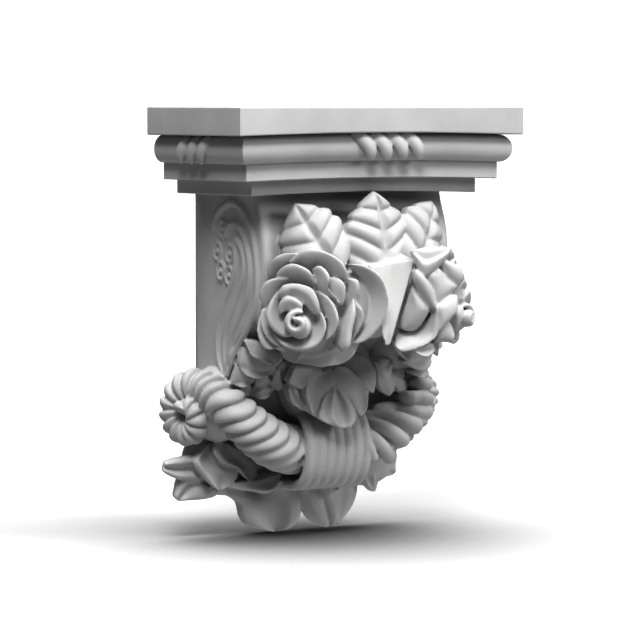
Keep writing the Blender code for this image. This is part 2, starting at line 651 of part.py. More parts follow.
# Lobes at the foot, from left to right, and a flap over the left one: two edges and heights across
FOOT_LOBES = (
    (((-86, -22, -260), (-80, -24, -271), (-67, -24, -280), (-62, -22, -293), (-53, -20, -302),
     (-27, -18, -309)),
     ((-18, -30, -250), (-5, -28, -276), (-5, -25, -294), (-12, -22, -304), (-27, -18, -308)),
     (0, 4, 2, -2, -3, 0, 5, 5, 0)),
    (((17, -22, -250), (28, -20, -276), (35, -19, -295), (40, -18, -306)),
     ((67, -14, -258), (64, -14, -281), (56, -14, -295), (40, -18, -306)), (0, 3, 0, 2, 0)),
    (((-16, -36, -250), (-7, -32, -277), (2, -30, -294), (13, -27, -303), (24, -25, -307)),
     ((13, -34, -252), (27, -32, -276), (32, -30, -292), (33, -27, -302), (24, -25, -307)),
     (0, 5, 6, 5, 0, 3, 4, 0)),
    (((-88, -30, -262), (-75, -36, -259), (-55, -42, -257), (-36, -44, -251)),
     ((-88, -30, -262), (-71, -40, -266), (-48, -46, -267), (-36, -44, -251)), (0, -1, 0, 3, 0)),
    (((8, -36, -258), (24, -38, -262), (38, -34, -266)),
     ((8, -36, -258), (21, -42, -273), (38, -34, -266)), (0, 0, 3, 0)),
)

# Leaves under the roses: base, tip and half width
LEAF_LOBES = (
    ((-79, -62, -158), (-87, -60, -181), 8),
    ((-52, -74, -146), (-54, -68, -177), 9),
    ((-66, -72, -148), (-69, -62, -184), 11),
    ((-89, -76, -149), (-99, -72, -171), 11),
    ((-82, -88, -137), (-88, -80, -164), 14),
    ((-83, -99, -125), (-90, -91, -151), 13),
)
CENTRE_LOBES = (
    ((12, -84, -144), (34, -84, -181), 12),
    ((-18, -84, -148), (-46, -84, -173), 12),
    ((-34, -78, -162), (-38, -80, -197), 10),
    ((-12, -90, -148), (-34, -92, -198), 14),
    ((-8, -90, -148), (18, -92, -201), 15),
    ((-15, -95, -166), (-10, -98, -210), 18),
)


def lilies(out, detail=1):
    """Open flowers with pleated petals at the foot of the console, the right one turned further back."""
    for base, tip, spread, fold, folds in RIGHT_LILY_PETALS:
        smooth_petal(out, base, tip, (0.35, -1, -0.1), spread, 9, 3, 3, 0.55, fold, folds, detail=detail)
    for first, second, heights, thick in LILY_PETALS:
        sheet(out, first, second, (-0.35, -1, -0.1), heights, thick, detail)
    for side in (-1, 1):
        out.add(*blob((side * (LILY_X - 32), -10, -LILY_DROP + 6), (36, 18, 26)))
    out.add(*blob((-LILY_X + 3, -LILY_DEPTH + 10, -LILY_DROP + 14), (17, 14, 22)))


def foot(out, detail=1):
    """Pleated lobes that hang at the foot."""
    for first, second, heights in FOOT_LOBES:
        sheet(out, first, second, (0, -1, -0.1), heights, 13.0, detail)
    for side in (-1, 1):
        out.add(*blob((side * LOBE_X, -LOBE_DEPTH / 2, -LOBE_BOTTOM + 54), (LOBE_WIDTH / 2, LOBE_DEPTH, 34)))


def leaves(out, detail=1):
    """Leaves of the left half, above and below the rose."""
    leaf(out, (-37, -140, -72), (-73, -121, -7), (-0.35, -0.95, 0.15), 31, 4, 9, 4.5, 8, 5, 0.6, 0.16, -2,
         detail=detail)
    for base, tip, spread in LEAF_LOBES:
        smooth_petal(out, base, tip, (-0.4, -1, -0.2), spread, 11, 3, 3, detail=detail)
    out.add(*blob((-72, -84, -140), (28, 22, 22)))
    out.add(*blob((-96, -30, -188), (30, 34, 34)))


def centre_leaves(out, detail=1):
    """Leaves on the centre line: one above the roses and a spray over the tie."""
    leaf(out, (6, -143, -88), (2, -133, 3),
     (0.1, -1, 0.05), 36, 5, 10, 4.5, 8, 5, 0.7, 0.16, 3, detail=detail)
    for base, tip, spread in CENTRE_LOBES:
        smooth_petal(out, base, tip, (0, -1, -0.1), spread, 10, 3, 4, detail=detail)
    out.add(*blob((0, -56, -165), (52, 28, 48)))


def torus_flutes(out, detail=1):
    """Slanting leaf flutes on the torus, in the middle of the front and of both sides."""
    middle = CAPITAL_HEIGHT - SLAB_HEIGHT - TORUS_HEIGHT / 2
    front = SLAB_DEPTH - TORUS_INSET + TORUS_BULGE
    side = SLAB_WIDTH / 2 - TORUS_INSET + TORUS_BULGE
    for i in range(FLUTE_COUNT):
        shift = (i - (FLUTE_COUNT - 1) / 2) * FLUTE_PITCH
        path = []
        for a in np.radians(np.linspace(68, -62, 7 * detail)):
            path.append((shift - FLUTE_SLANT * math.sin(a), -front + TORUS_BULGE * (1 - math.cos(a)) - 1.0,
                         middle + TORUS_HEIGHT / 2 * math.sin(a) + ARCH_RISE))
        size = taper(len(path), 0.5, 0.3)
        out.add(*tube(path, FLUTE_PITCH * 0.42 * size, 4.5 * size, (0, -1, 0)))
    for sign in (-1, 1):
        for i in range(FLUTE_COUNT - 1):
            shift = (i - (FLUTE_COUNT - 2) / 2) * FLUTE_PITCH
            path = []
            for a in np.radians(np.linspace(65, -65, 7 * detail)):
                path.append((sign * (side - TORUS_BULGE * (1 - math.cos(a)) + 0.3),
                             -SLAB_DEPTH * 0.42 + shift - FLUTE_SLANT * math.sin(a),
                             middle + TORUS_HEIGHT / 2 * math.sin(a)))
            size = taper(len(path), 0.5, 0.3)
            out.add(*tube(path, FLUTE_PITCH * 0.4 * size, 3.5 * size, (sign, 0, 0)))


def carved_forms(detail=1):
    """Every carved form: the left half, its mirror image and what stands on the centre line."""
    left = Shells()
    scroll_relief(left, detail)
    rose(left, detail)
    horn(left, detail)
    leaves(left, detail)
    out = Shells()
    out.add(*body())
    out.join(left)
    out.join(left.mirror())
    breast(out, detail)
    centre_petal(out, detail)
    flank(out, detail)
    centre_leaves(out, detail)
    torus_flutes(out, detail)
    tie(out, detail)
    lilies(out, detail)
    foot(out, detail)
    return out


def mesh_object(name, shells):
    mesh = bpy.data.meshes.new(name)
    mesh.from_pydata([tuple(c * 0.001 for c in v) for v in shells.verts], [], shells.faces)
    mesh.update()
    obj = bpy.data.objects.new(name, mesh)
    bpy.context.scene.collection.objects.link(obj)
    return obj


def evaluated(obj):
    """The object's mesh with its modifiers, as a new mesh."""
    return bpy.data.meshes.new_from_object(obj.evaluated_get(bpy.context.evaluated_depsgraph_get()))


def fused(shells):
    """One closed skin over all the shells, cut flat at the wall."""
    source = mesh_object("carving", shells)
    remesh = source.modifiers.new("fuse", "REMESH")
    remesh.mode = "VOXEL"
    remesh.voxel_size = VOXEL * 0.001
    mesh = evaluated(source)
    bpy.data.objects.remove(source)
    bm = bmesh.new()
    bm.from_mesh(mesh)
    bmesh.ops.smooth_vert(bm, verts=bm.verts, factor=0.5, use_axis_x=True, use_axis_y=True, use_axis_z=True)
    bmesh.ops.triangulate(bm, faces=bm.faces)
    bm.to_mesh(mesh)
    count = len(bm.faces)
    bm.free()
    skin = bpy.data.objects.new("carving", mesh)
    bpy.context.scene.collection.objects.link(skin)
    decimate = skin.modifiers.new("thin", "DECIMATE")
    decimate.ratio = TRIANGLES / count
    thin = evaluated(skin)
    bpy.data.objects.remove(skin)
    return thin


def keep_largest(bm):
    """Drops every loose shell but the largest."""
    seen = set()
    groups = []
    for face in bm.faces:
        if face in seen:
            continue
        seen.add(face)
        group = [face]
        for item in group:
            for edge in item.edges:
                for near in edge.link_faces:
                    if near not in seen:
                        seen.add(near)
                        group.append(near)
        groups.append(group)
    groups.sort(key=len)
    spare = [face for group in groups[:-1] for face in group]
    bmesh.ops.delete(bm, geom=spare, context="FACES")


def clean(mesh):
    """Drops loose crumbs and leaves triangles that face outwards."""
    bm = bmesh.new()
    bm.from_mesh(mesh)
    keep_largest(bm)
    bmesh.ops.triangulate(bm, faces=bm.faces)
    bmesh.ops.recalc_face_normals(bm, faces=bm.faces)
    bm.to_mesh(mesh)
    bm.free()


def wall_block():
    """Block that fills the space behind the wall face."""
    reach = SLAB_WIDTH
    mesh = bpy.data.meshes.new("wall_block")
    bm = bmesh.new()
    bmesh.ops.create_cube(bm, size=0.001)
    bmesh.ops.scale(bm, vec=(4 * reach, 2 * OVERRUN, 4 * reach), verts=bm.verts)
    bmesh.ops.translate(bm, vec=(0, OVERRUN * 0.001, 0), verts=bm.verts)
    bm.to_mesh(mesh)
    bm.free()
    block = bpy.data.objects.new("wall_block", mesh)
    bpy.context.scene.collection.objects.link(block)
    return block


def combined(obj, other, operation):
    """The mesh of obj joined with, or cut by, the other object."""
    step = obj.modifiers.new(operation.lower(), "BOOLEAN")
    step.operation = operation
    step.solver = "EXACT"
    step.object = other
    mesh = evaluated(obj)
    obj.modifiers.clear()
    obj.data = mesh
    bpy.data.objects.remove(other)
    return mesh


def cast_material():
    material = bpy.data.materials.new("primed_polyurethane")
    material.use_nodes = True
    shader = material.node_tree.nodes["Principled BSDF"]
    shader.inputs["Base Color"].default_value = (0.78, 0.78, 0.77, 1.0)
    shader.inputs["Roughness"].default_value = 0.6
    return material


def build():
    for obj in list(bpy.data.objects):
        bpy.data.objects.remove(obj)
    carving = bpy.data.objects.new("carving", fused(carved_forms()))
    bpy.context.scene.collection.objects.link(carving)
    corbel = mesh_object("corbel", capital())
    combined(corbel, carving, "UNION")
    combined(corbel, wall_block(), "DIFFERENCE")
    clean(corbel.data)
    corbel.data.materials.clear()
    corbel.data.materials.append(cast_material())


build()
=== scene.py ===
"""Dresses the corbel: the solid's carved forms, cast finer and with closer edges, with a primed
polyurethane finish, on a pale floor under soft studio light. Sizes are in millimetres and the meshes are
written in metres. The rows of edge points were read off the photo, set at a guessed depth and
turned into millimetres through the camera's perspective."""
import math

import bmesh
import bpy
import numpy as np
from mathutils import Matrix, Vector


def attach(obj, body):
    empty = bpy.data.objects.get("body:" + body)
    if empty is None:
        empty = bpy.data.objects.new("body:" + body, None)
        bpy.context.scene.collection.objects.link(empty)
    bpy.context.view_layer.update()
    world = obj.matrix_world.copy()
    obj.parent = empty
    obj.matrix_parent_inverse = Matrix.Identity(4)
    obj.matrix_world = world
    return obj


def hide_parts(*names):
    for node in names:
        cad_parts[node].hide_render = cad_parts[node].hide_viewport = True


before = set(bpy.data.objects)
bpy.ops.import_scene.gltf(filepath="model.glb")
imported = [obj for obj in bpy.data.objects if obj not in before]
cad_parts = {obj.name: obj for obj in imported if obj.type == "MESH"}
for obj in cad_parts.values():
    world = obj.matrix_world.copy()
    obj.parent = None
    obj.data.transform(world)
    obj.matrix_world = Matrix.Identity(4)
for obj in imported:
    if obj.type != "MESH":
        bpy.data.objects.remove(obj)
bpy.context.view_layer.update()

# Capital, from the top down: slab, torus and two flat bands
SLAB_WIDTH = 300.0
SLAB_DEPTH = 155.0
SLAB_HEIGHT = 25.0
SLAB_EDGE = 1.5
TORUS_HEIGHT = 24.5
TORUS_INSET = 16.0
TORUS_BULGE = 9.0
BAND_1_HEIGHT = 15.0
BAND_1_INSET = 17.0
BAND_2_HEIGHT = 12.5
BAND_2_INSET = 31.0
ARCH_RISE = 2.4
FLUTE_COUNT = 4
FLUTE_PITCH = 17.0
FLUTE_SLANT = 10.0
FLUTE_SHIFT = 6.0

# Steps of the capital's curves, and the rounding of its edges
ARCH_STEPS = 24
TORUS_STEPS = 24
EASE_WIDTH = 0.9
EASE_SEGMENTS = 3
EASE_ANGLE = 28
SHARP_ANGLE = 32

# Console: width across the wall, then depth from the wall at levels below the capital
BODY_WIDTH = 200.0
BODY_LEVELS = (
    (98.0, -4.0),
    (101.0, 8.0),
    (109.0, 30.0),
    (112.0, 55.0),
    (108.0, 86.0),
    (91.0, 110.0),
    (71.0, 129.0),
    (58.0, 150.0),
    (50.0, 180.0),
    (40.0, 215.0),
    (24.0, 245.0),
    (12.0, 272.0),
)
BODY_TAPER_START = 165.0
BODY_TAPER_WIDTH = 96.0
BODY_EDGE = 5.0

# Scroll carved on each side of the console
SCROLL_RISE = 3.6
SCROLL_WIDTH = 7.0
RING_RADIUS = 8.7
RING_WIRE = 2.6

# Roses: eye of the flower, the turn of its face from the front and the dome under its petals
ROSE_X = 93.0
ROSE_DEPTH = 157.0
ROSE_DROP = 110.0
ROSE_YAW = 33.4
ROSE_DOME = 39.0
ROSE_HEIGHT = 30.0
ROSE_BULGE = 0.016
CURL_RADIUS = 12.5

# Ribbed horns: tube radius at the tie, at the turn and at the tip, then the ribs and the volute
HORN_RADIUS = 21.5
HORN_TURN_RADIUS = 19.0
HORN_TIP_RADIUS = 8.5
HORN_RIB_PITCH = 15.5
HORN_RIB_RISE = 4.2
HORN_LAY = 30.0
VOLUTE_X = 125.0
VOLUTE_DEPTH = 28.0
VOLUTE_DROP = 196.0
VOLUTE_RADIUS = 25.0
VOLUTE_YAW = 72.0
VOLUTE_THROW = 16.0

# The tube of the right horn is slimmer by this much, under its long ribs
HORN_SLIM = 5.0

# Cords that tie the horns together
CORD_COUNT = 7
CORD_PITCH = 9.9
CORD_RADIUS = 5.8
TIE_DEPTH = 44.0
TIE_DROP = 229.0
TIE_REACH = 37.0
TIE_HALF_HEIGHT = 34.0
TIE_SQUARENESS = 0.6

# Lilies and the two lobes at the foot
LILY_X = 107.0
LILY_DEPTH = 22.0
LILY_DROP = 253.0
LOBE_X = 27.5
LOBE_DEPTH = 16.0
LOBE_BOTTOM = 307.0
LOBE_WIDTH = 46.0

# The console runs on behind the wall face by this much before it is cut flat
OVERRUN = 12.0

MILLIMETRE = 0.001

CAPITAL_HEIGHT = SLAB_HEIGHT + TORUS_HEIGHT + BAND_1_HEIGHT + BAND_2_HEIGHT


def vec(*values):
    return np.array(values, dtype=float)


def unit(v):
    return v / max(np.linalg.norm(v), 1e-9)


class Shells:
    """Closed shells of one mesh, in millimetres."""

    def __init__(self):
        self.verts = []
        self.faces = []

    def add(self, verts, faces):
        start = len(self.verts)
        self.verts.extend(map(tuple, verts))
        self.faces.extend([tuple(i + start for i in face) for face in faces])

    def mirror(self):
        """The same shells on the other side of the plane X = 0."""
        other = Shells()
        other.verts = [(-x, y, z) for x, y, z in self.verts]
        other.faces = [face[::-1] for face in self.faces]
        return other

    def join(self, other):
        self.add(other.verts, other.faces)


def curve(points, steps):
    """Catmull-Rom curve through the points, the ends included."""
    p = np.array(points, dtype=float)
    p = np.vstack([2 * p[0] - p[1], p, 2 * p[-1] - p[-2]])
    out = []
    for i in range(1, len(p) - 2):
        for k in range(steps):
            t = k / steps
            out.append(0.5 * (2 * p[i] + (p[i + 1] - p[i - 1]) * t
                              + (2 * p[i - 1] - 5 * p[i] + 4 * p[i + 1] - p[i + 2]) * t * t
                              + (3 * p[i] - p[i - 1] - 3 * p[i + 1] + p[i + 2]) * t ** 3))
    out.append(p[-2])
    return np.array(out)


def loft(rings):
    """Closed shell through rings of equal count, capped by a fan at each end."""
    rings = np.array(rings, dtype=float)
    count, sides = rings.shape[:2]
    verts = list(rings.reshape(-1, 3))
    faces = []
    for i in range(count - 1):
        for k in range(sides):
            a = i * sides + k
            b = i * sides + (k + 1) % sides
            faces.append((a, b, b + sides, a + sides))
    for ring, flip in ((0, True), (count - 1, False)):
        verts.append(rings[ring].mean(axis=0))
        hub = len(verts) - 1
        for k in range(sides):
            a = ring * sides + k
            b = ring * sides + (k + 1) % sides
            faces.append((b, a, hub) if flip else (a, b, hub))
    return verts, faces


def oval(sides):
    """Section of half width and half height one."""
    turns = [2 * math.pi * k / sides for k in range(sides)]
    return [(math.cos(a), math.sin(a)) for a in turns]


def tube(path, widths, heights, face, section=None):
    """Closed tube: half widths across the face direction, half heights along it."""
    path = np.array(path, dtype=float)
    tangents = np.gradient(path, axis=0)
    faces = np.broadcast_to(np.array(face, dtype=float), path.shape)
    section = section or oval(14)
    rings = []
    for p, t, n, w, h in zip(path, tangents, faces, widths, heights):
        t = unit(t)
        b = unit(np.cross(t, n))
        n = unit(np.cross(b, t))
        rings.append([p + b * x * w + n * y * h for x, y in section])
    return loft(rings)


def taper(count, start=0.25, end=0.25, power=0.5):
    """Size factors along a form that is full in the middle and closes at both ends."""
    f = np.linspace(0, 1, count)
    a = np.clip((f + 0.02) / max(start, 1e-6), 0, 1)
    b = np.clip((1.02 - f) / max(end, 1e-6), 0, 1)
    return (np.sin(a * math.pi / 2) * np.sin(b * math.pi / 2)) ** power


def blob(centre, radii, axes=None, rings=12, sides=18):
    """Closed ellipsoid."""
    axes = np.eye(3) if axes is None else np.array(axes)
    out = []
    for i in range(rings + 1):
        a = math.pi * (i + 0.08) / (rings + 0.16)
        ring = []
        for k in range(sides):
            b = 2 * math.pi * k / sides
            local = vec(math.sin(a) * math.cos(b), math.sin(a) * math.sin(b), math.cos(a)) * radii
            ring.append(np.array(centre) + local @ axes)
        out.append(ring)
    return loft(out)


def flower_frame(yaw):
    """Right, up and outward directions of a flower turned by yaw towards -X."""
    turn = math.radians(yaw)
    right = vec(math.cos(turn), -math.sin(turn), 0)
    out = vec(-math.sin(turn), -math.cos(turn), 0)
    return np.array([right, np.cross(out, right), out])


def capital():
    """The mouldings: a stack of rectangles whose front edge bows up towards the middle. They end at the
    wall."""
    level = CAPITAL_HEIGHT
    steps = [(SLAB_EDGE, level, 0.0), (SLAB_EDGE * 0.3, level - SLAB_EDGE * 0.3, 0.0),
             (0.0, level - SLAB_EDGE, 0.0)]
    level -= SLAB_HEIGHT
    steps += [(0.0, level + SLAB_EDGE, 0.9), (SLAB_EDGE * 0.3, level + SLAB_EDGE * 0.3, 1.0),
              (SLAB_EDGE, level, 1.0)]
    for i in range(TORUS_STEPS + 1):
        a = math.pi * i / TORUS_STEPS
        steps.append((TORUS_INSET - TORUS_BULGE * math.sin(a),
                      level - TORUS_HEIGHT * (1 - math.cos(a)) / 2, 1.0))
    level -= TORUS_HEIGHT
    steps.append((BAND_1_INSET, level, 1.0))
    level -= BAND_1_HEIGHT
    steps += [(BAND_1_INSET, level + SLAB_EDGE / 2, 1.0), (BAND_1_INSET + SLAB_EDGE / 2, level, 1.0),
              (BAND_2_INSET, level + SLAB_EDGE / 2, 1.0)]
    level -= BAND_2_HEIGHT
    steps += [(BAND_2_INSET, level + SLAB_EDGE / 2, 1.0), (BAND_2_INSET + SLAB_EDGE / 2, level, 1.0)]
    verts = []
    faces = []
    n = ARCH_STEPS + 1
    for inset, z, share in steps:
        half = SLAB_WIDTH / 2 - inset
        for i in range(n):
            x = -half + 2 * half * i / ARCH_STEPS
            rise = ARCH_RISE * share * (1 - (x / half) ** 2)
            verts.append((x, -(SLAB_DEPTH - inset), z + rise))
        verts.append((-half, 0.0, z))
        verts.append((half, 0.0, z))
    count = n + 2
    for s in range(len(steps) - 1):
        a = s * count
        b = a + count
        for i in range(n - 1):
            faces.append((a + i, b + i, b + i + 1))
            faces.append((a + i, b + i + 1, a + i + 1))
        faces.append((a, a + n, b + n, b))
        faces.append((a + n - 1, b + n - 1, b + n + 1, a + n + 1))
    last = (len(steps) - 1) * count
    left = [s * count + n for s in range(len(steps))]
    right = [s * count + n + 1 for s in range(len(steps))]
    faces.append(tuple(left[::-1] + right))
    faces.append(tuple(range(n)) + (n + 1, n))
    middle = ARCH_STEPS // 2
    for i in range(n - 1):
        faces.append((last + i + 1, last + i, last + n + (i >= middle)))
    faces.append((last + middle, last + n, last + n + 1))
    shell = Shells()
    shell.add(verts, faces)
    return shell


def body(steps=6):
    """The console: an upright slab with a scrolled front, narrower at the foot."""
    levels = curve([(d, drop, 0) for d, drop in BODY_LEVELS], steps)
    rings = []
    for depth, drop, _ in levels:
        half = BODY_WIDTH / 2
        low = BODY_LEVELS[-1][1]
        if drop > BODY_TAPER_START:
            f = (drop - BODY_TAPER_START) / (low - BODY_TAPER_START)
            half += (BODY_TAPER_WIDTH / 2 - half) * f ** 1.3
        ring = [(half, OVERRUN, -drop), (-half, OVERRUN, -drop)]
        for side, turn in ((-1, (180, 270)), (1, (270, 360))):
            for k in range(4):
                a = math.radians(turn[0] + (turn[1] - turn[0]) * k / 3)
                ring.append((side * (half - BODY_EDGE) + BODY_EDGE * math.cos(a),
                             -(depth - BODY_EDGE) + BODY_EDGE * math.sin(a), -drop))
        rings.append(ring)
    return loft(rings)


def scroll_relief(out, detail):
    """Raised scroll bands and rings on the left side face."""
    x = -BODY_WIDTH / 2
    side = vec(-1, 0, 0)
    steps = 6 * detail
    bands = (
        (((33, 33), (36, 21), (47, 12), (63, 7), (80, 12), (92, 24), (99, 40), (103, 60), (104, 84),
          (99, 101), (86, 118), (71, 135), (61, 150), (55, 162)), SCROLL_WIDTH, SCROLL_RISE),
        (((53, 38), (58, 29), (69, 26), (80, 33), (87, 46), (92, 60), (92, 76), (86, 92), (74, 108),
          (63, 124), (56, 140), (52, 161)), SCROLL_WIDTH, SCROLL_RISE),
        (((68, 38), (79, 48), (83, 62), (79, 76), (66, 97), (55, 115), (49, 133), (50, 160)),
         SCROLL_WIDTH, SCROLL_RISE),
        (((66, 40), (69, 53), (68, 67), (60, 82), (49, 98), (41, 116), (38, 134), (41, 151), (50, 161)),
         SCROLL_WIDTH * 0.8, SCROLL_RISE),
    )
    for points, width, rise in bands:
        path = curve([(x, -d, -drop) for d, drop in points], steps)
        f = taper(len(path), 0.08, 0.5, 0.6)
        out.add(*tube(path, width / 2 * (0.35 + 0.65 * f), rise * (0.4 + 0.6 * f), side, oval(10)))
    for d, drop in ((47, 31), (38.5, 51), (59, 52.5), (44, 68.5), (58, 72)):
        ring = [(x, -d + RING_RADIUS * 0.72 * math.cos(a), -drop + RING_RADIUS * 0.9 * math.sin(a))
                for a in np.linspace(0, 2 * math.pi, 14 * detail + 1)]
        size = np.full(len(ring), RING_WIRE * 0.75)
        out.add(*tube(ring, size, size * 1.2, side, oval(8)))
        out.add(*blob((x, -d, -drop), (3.2, 2.6, 2.6)))


def leaf(out, base, tip, face, spread, pairs, thick, bulge, fall, bend, rake, notch, sway, detail,
         point=0.75, fold=0.0, folds=1.5):
    """A leaf or petal cast as one sheet: lobes in pairs with a crease between them, raked towards the
    tip, and a sunk midrib. It falls back at its edges, bends towards its face, sways to one side and
    can be pleated lengthwise."""
    base, tip, face = np.array(base, float), np.array(tip, float), unit(np.array(face, float))
    along = unit(tip - base)
    face = unit(face - along * np.dot(face, along))
    across = np.cross(along, face)
    length = np.linalg.norm(tip - base)
    steps = max(pairs * 9, 14) * detail
    half = 6 * detail
    rows = []
    for i in range(steps + 1):
        u = 1 - (1 - i / steps) ** 1.5
        q = (u * pairs) % 1.0 if i < steps else 1.0
        lobe = math.sin(math.pi * q ** 0.8) ** 0.55 if 0 < q < 1 else 0.0
        girth = math.sin(math.pi * min(1.0, 0.24 + 0.76 * u)) ** point
        reach = max(spread * girth * (1 - notch * (1 - lobe)), 0.8)
        top = []
        for k in range(-half, half + 1):
            v = k / half
            a = abs(v)
            rise = bulge * lobe * min(1.0, a * 4.5) * (1 - a ** 5) - fall * girth * a ** 2.2
            rise += bend * math.sin(math.pi * u)
            rise += fold * math.cos(2 * math.pi * folds * v) * min(1.0, 2 * u) * min(1.0, 3 - 3 * u)
            top.append(base + along * (u * length + rake * a * reach * (1 - u * u))
                       + across * (v * reach + sway * math.sin(math.pi * u)) + face * rise)
        back = thick * (0.35 + 0.65 * girth)
        under = [p - face * back - across * 0.12 * back * (k - half) / half for k, p in enumerate(top)]
        rows.append(top + under[::-1])
    out.add(*loft(rows))


def smooth_petal(out, base, tip, face, spread, thick, fall, bend, detail, point, fold, folds):
    """A broad petal without lobes, pleated lengthwise."""
    leaf(out, base, tip, face, spread, pairs=1, thick=thick, bulge=0.0, fall=fall, bend=bend, rake=0.0,
         notch=0.0, sway=0.0, detail=detail, point=point, fold=fold, folds=folds)


def evenly(points, count):
    """Points at equal steps along a smooth curve."""
    path = curve(points, 8)
    run = np.concatenate([[0], np.cumsum(np.linalg.norm(np.diff(path, axis=0), axis=1))])
    steps = np.linspace(0, run[-1], count)
    return np.stack([np.interp(steps, run, path[:, k]) for k in range(3)], axis=1)


def sheet(out, first, second, face, heights, thick, detail):
    """A petal stretched between two edge curves. The heights are those of its face from the first
    edge across to the second."""
    steps = 12 * detail
    half = 10 * detail
    face = unit(np.array(face, float))
    a = evenly(first, steps + 1)
    b = evenly(second, steps + 1)
    b = b + unit((b - a).mean(axis=0)) * 0.8
    level = evenly([(i / (len(heights) - 1), h, 0) for i, h in enumerate(heights)], half + 1)
    level = np.interp(np.linspace(0, 1, half + 1), level[:, 0], level[:, 1])
    rings = []
    for i in range(steps + 1):
        reach = min(1.0, np.linalg.norm(b[i] - a[i]) / 12)
        top = [a[i] + (b[i] - a[i]) * k / half + face * level[k] * reach for k in range(half + 1)]
        under = [p - face * thick * (0.6 + 0.4 * reach) for p in top]
        rings.append(top + under[::-1])
    out.add(*loft(rings))


# Petals of each rose, from the curled bud outwards: rim, inner edge and heights across
ROSE_PETALS = (
    (((-17, 14, -9), (-15, 20, -8), (-9, 24, -7), (-2, 22, -7), (4, 17, -8), (4, 14, -9)),
     ((-16, 8, -10), (-12, 11, -10), (-5, 12, -10), (0, 11, -10), (3, 12, -9), (4, 14, -9)), (0, 2, 2, 1, 0)),
    (((-17, 27, -13), (-13, 33, -12), (-5, 35, -11), (4, 34, -10), (13, 30, -10), (18, 20, -11),
     (19, 12, -12), (18, 8, -13)),
     ((-16, 22, -15), (-11, 22, -14), (-4, 24, -14), (3, 20, -13), (9, 14, -13), (14, 9, -14),
      (18, 8, -14)), (0, 2, 3, 1, -1)),
    (((-18, 27, -17), (-24, 19, -16), (-28, 9, -14), (-26, 0, -13), (-21, -7, -14), (-13, -12, -15),
     (-6, -12, -16)),
     ((-16, 25, -19), (-15, 16, -19), (-13, 7, -19), (-8, 1, -19), (-4, -6, -18), (-4, -11, -17)),
      (0, 3, 2, 0, -2)),
    (((-20, -12, -20), (-13, -20, -18), (-3, -24, -17), (7, -24, -16), (17, -20, -16), (23, -11, -16),
     (25, -2, -16), (23, 5, -17), (19, 11, -18)),
     ((-14, -12, -22), (-4, -14, -22), (4, -12, -21), (12, -7, -21), (16, 0, -21), (16, 6, -20),
      (18, 11, -20)), (0, 3, 1, -1, -2)),
    (((18, 27, -19), (27, 22, -18), (33, 14, -18), (36, 4, -17), (34, -5, -18), (30, -12, -20),
     (24, -16, -21)),
     ((16, 28, -22), (21, 16, -22), (25, 7, -22), (27, 0, -22), (27, -6, -22), (24, -16, -22)), (0, 3, 2, 0)),
    (((13, 47, -20), (18, 50, -19), (24, 47, -18), (28, 40, -17), (26, 32, -18), (30, 26, -19),
     (37, 18, -20)),
     ((14, 45, -22), (17, 38, -21), (19, 32, -20), (24, 27, -20), (29, 23, -21), (37, 18, -21)),
      (0, 4, 5, 3, 0)),
    (((26, 40, -26), (35, 39, -24), (41, 34, -22), (42, 24, -23), (39, 14, -24)),
     ((26, 39, -26), (27, 31, -26), (29, 27, -25), (35, 18, -25), (39, 14, -25)), (0, 2, 2, 0)),
    (((-19, 43, -24), (-13, 49, -22), (-5, 52, -20), (3, 50, -18), (11, 45, -19), (15, 37, -20),
     (15, 32, -21)),
     ((-18, 40, -25), (-9, 40, -24), (0, 38, -24), (7, 36, -24), (15, 32, -23)), (0, 3, 4, 3, 0)),
    (((-26, 38, -32), (-27, 46, -29), (-22, 55, -26), (-14, 60, -27), (-2, 61, -28)),
     ((-24, 38, -33), (-19, 45, -32), (-13, 50, -30), (-7, 54, -30), (-2, 61, -29)), (0, 3, 3, 0)),
    (((-6, 53, -28), (0, 60, -26), (7, 64, -25), (17, 64, -24), (29, 60, -22), (39, 53, -22),
     (43, 45, -23), (44, 38, -24), (42, 36, -24)),
     ((-5, 51, -30), (2, 52, -29), (8, 50, -29), (17, 51, -28), (24, 48, -28), (32, 42, -27),
      (42, 36, -27)), (0, 3, 4, 3, -1)),
    (((-29, 11, -28), (-32, 18, -26), (-34, 26, -25), (-30, 34, -23), (-24, 38, -23), (-16, 39, -24),
     (-8, 38, -24)),
     ((-28, 11, -30), (-25, 20, -28), (-20, 29, -27), (-15, 34, -26), (-8, 37, -25)), (0, 3, 2, 0)),
    (((-32, 11, -26), (-33, 1, -25), (-30, -9, -24), (-23, -18, -24), (-13, -23, -24)),
     ((-27, 11, -28), (-24, 0, -28), (-19, -10, -27), (-12, -19, -26), (-9, -21, -25)), (0, 2, 1, 0)),
    (((-34, 5, -32), (-36, -7, -30), (-33, -18, -29), (-28, -24, -29), (-20, -24, -29)),
     ((-30, 5, -34), (-29, -6, -32), (-24, -14, -31), (-18, -21, -30), (-17, -23, -29)), (0, 2, 1, 0)),
)

# Broad petals of the left rose towards the centre line: rim, inner edge and heights across
BREAST_PETALS = (
    (((45, 50, -38), (59, 49, -37), (72, 40, -36), (78, 27, -36), (79, 14, -37), (74, -1, -38),
     (65, -13, -40), (56, -19, -43), (46, -20, -46)),
     ((45, 50, -40), (55, 39, -46), (61, 25, -52), (63, 11, -50), (59, -3, -48), (54, -13, -47),
      (46, -20, -46)), (0, 3, 2, 0)),
    (((43, 38, -30), (52, 37, -32), (54, 29, -33), (51, 19, -36), (57, 10, -38), (58, 1, -41),
     (53, -9, -42), (48, -18, -44)),
     ((43, 38, -32), (44, 28, -33), (41, 16, -36), (48, 7, -40), (46, -6, -43), (48, -18, -44)),
      (0, 2, 1, 0)),
    (((48, 19, -32), (41, 6, -31), (36, -12, -30), (35, -20, -30), (39, -26, -30)),
     ((48, 19, -32), (50, 8, -31), (47, -7, -30), (45, -21, -30), (39, -26, -30)), (0, 4, 4, 0)),
)

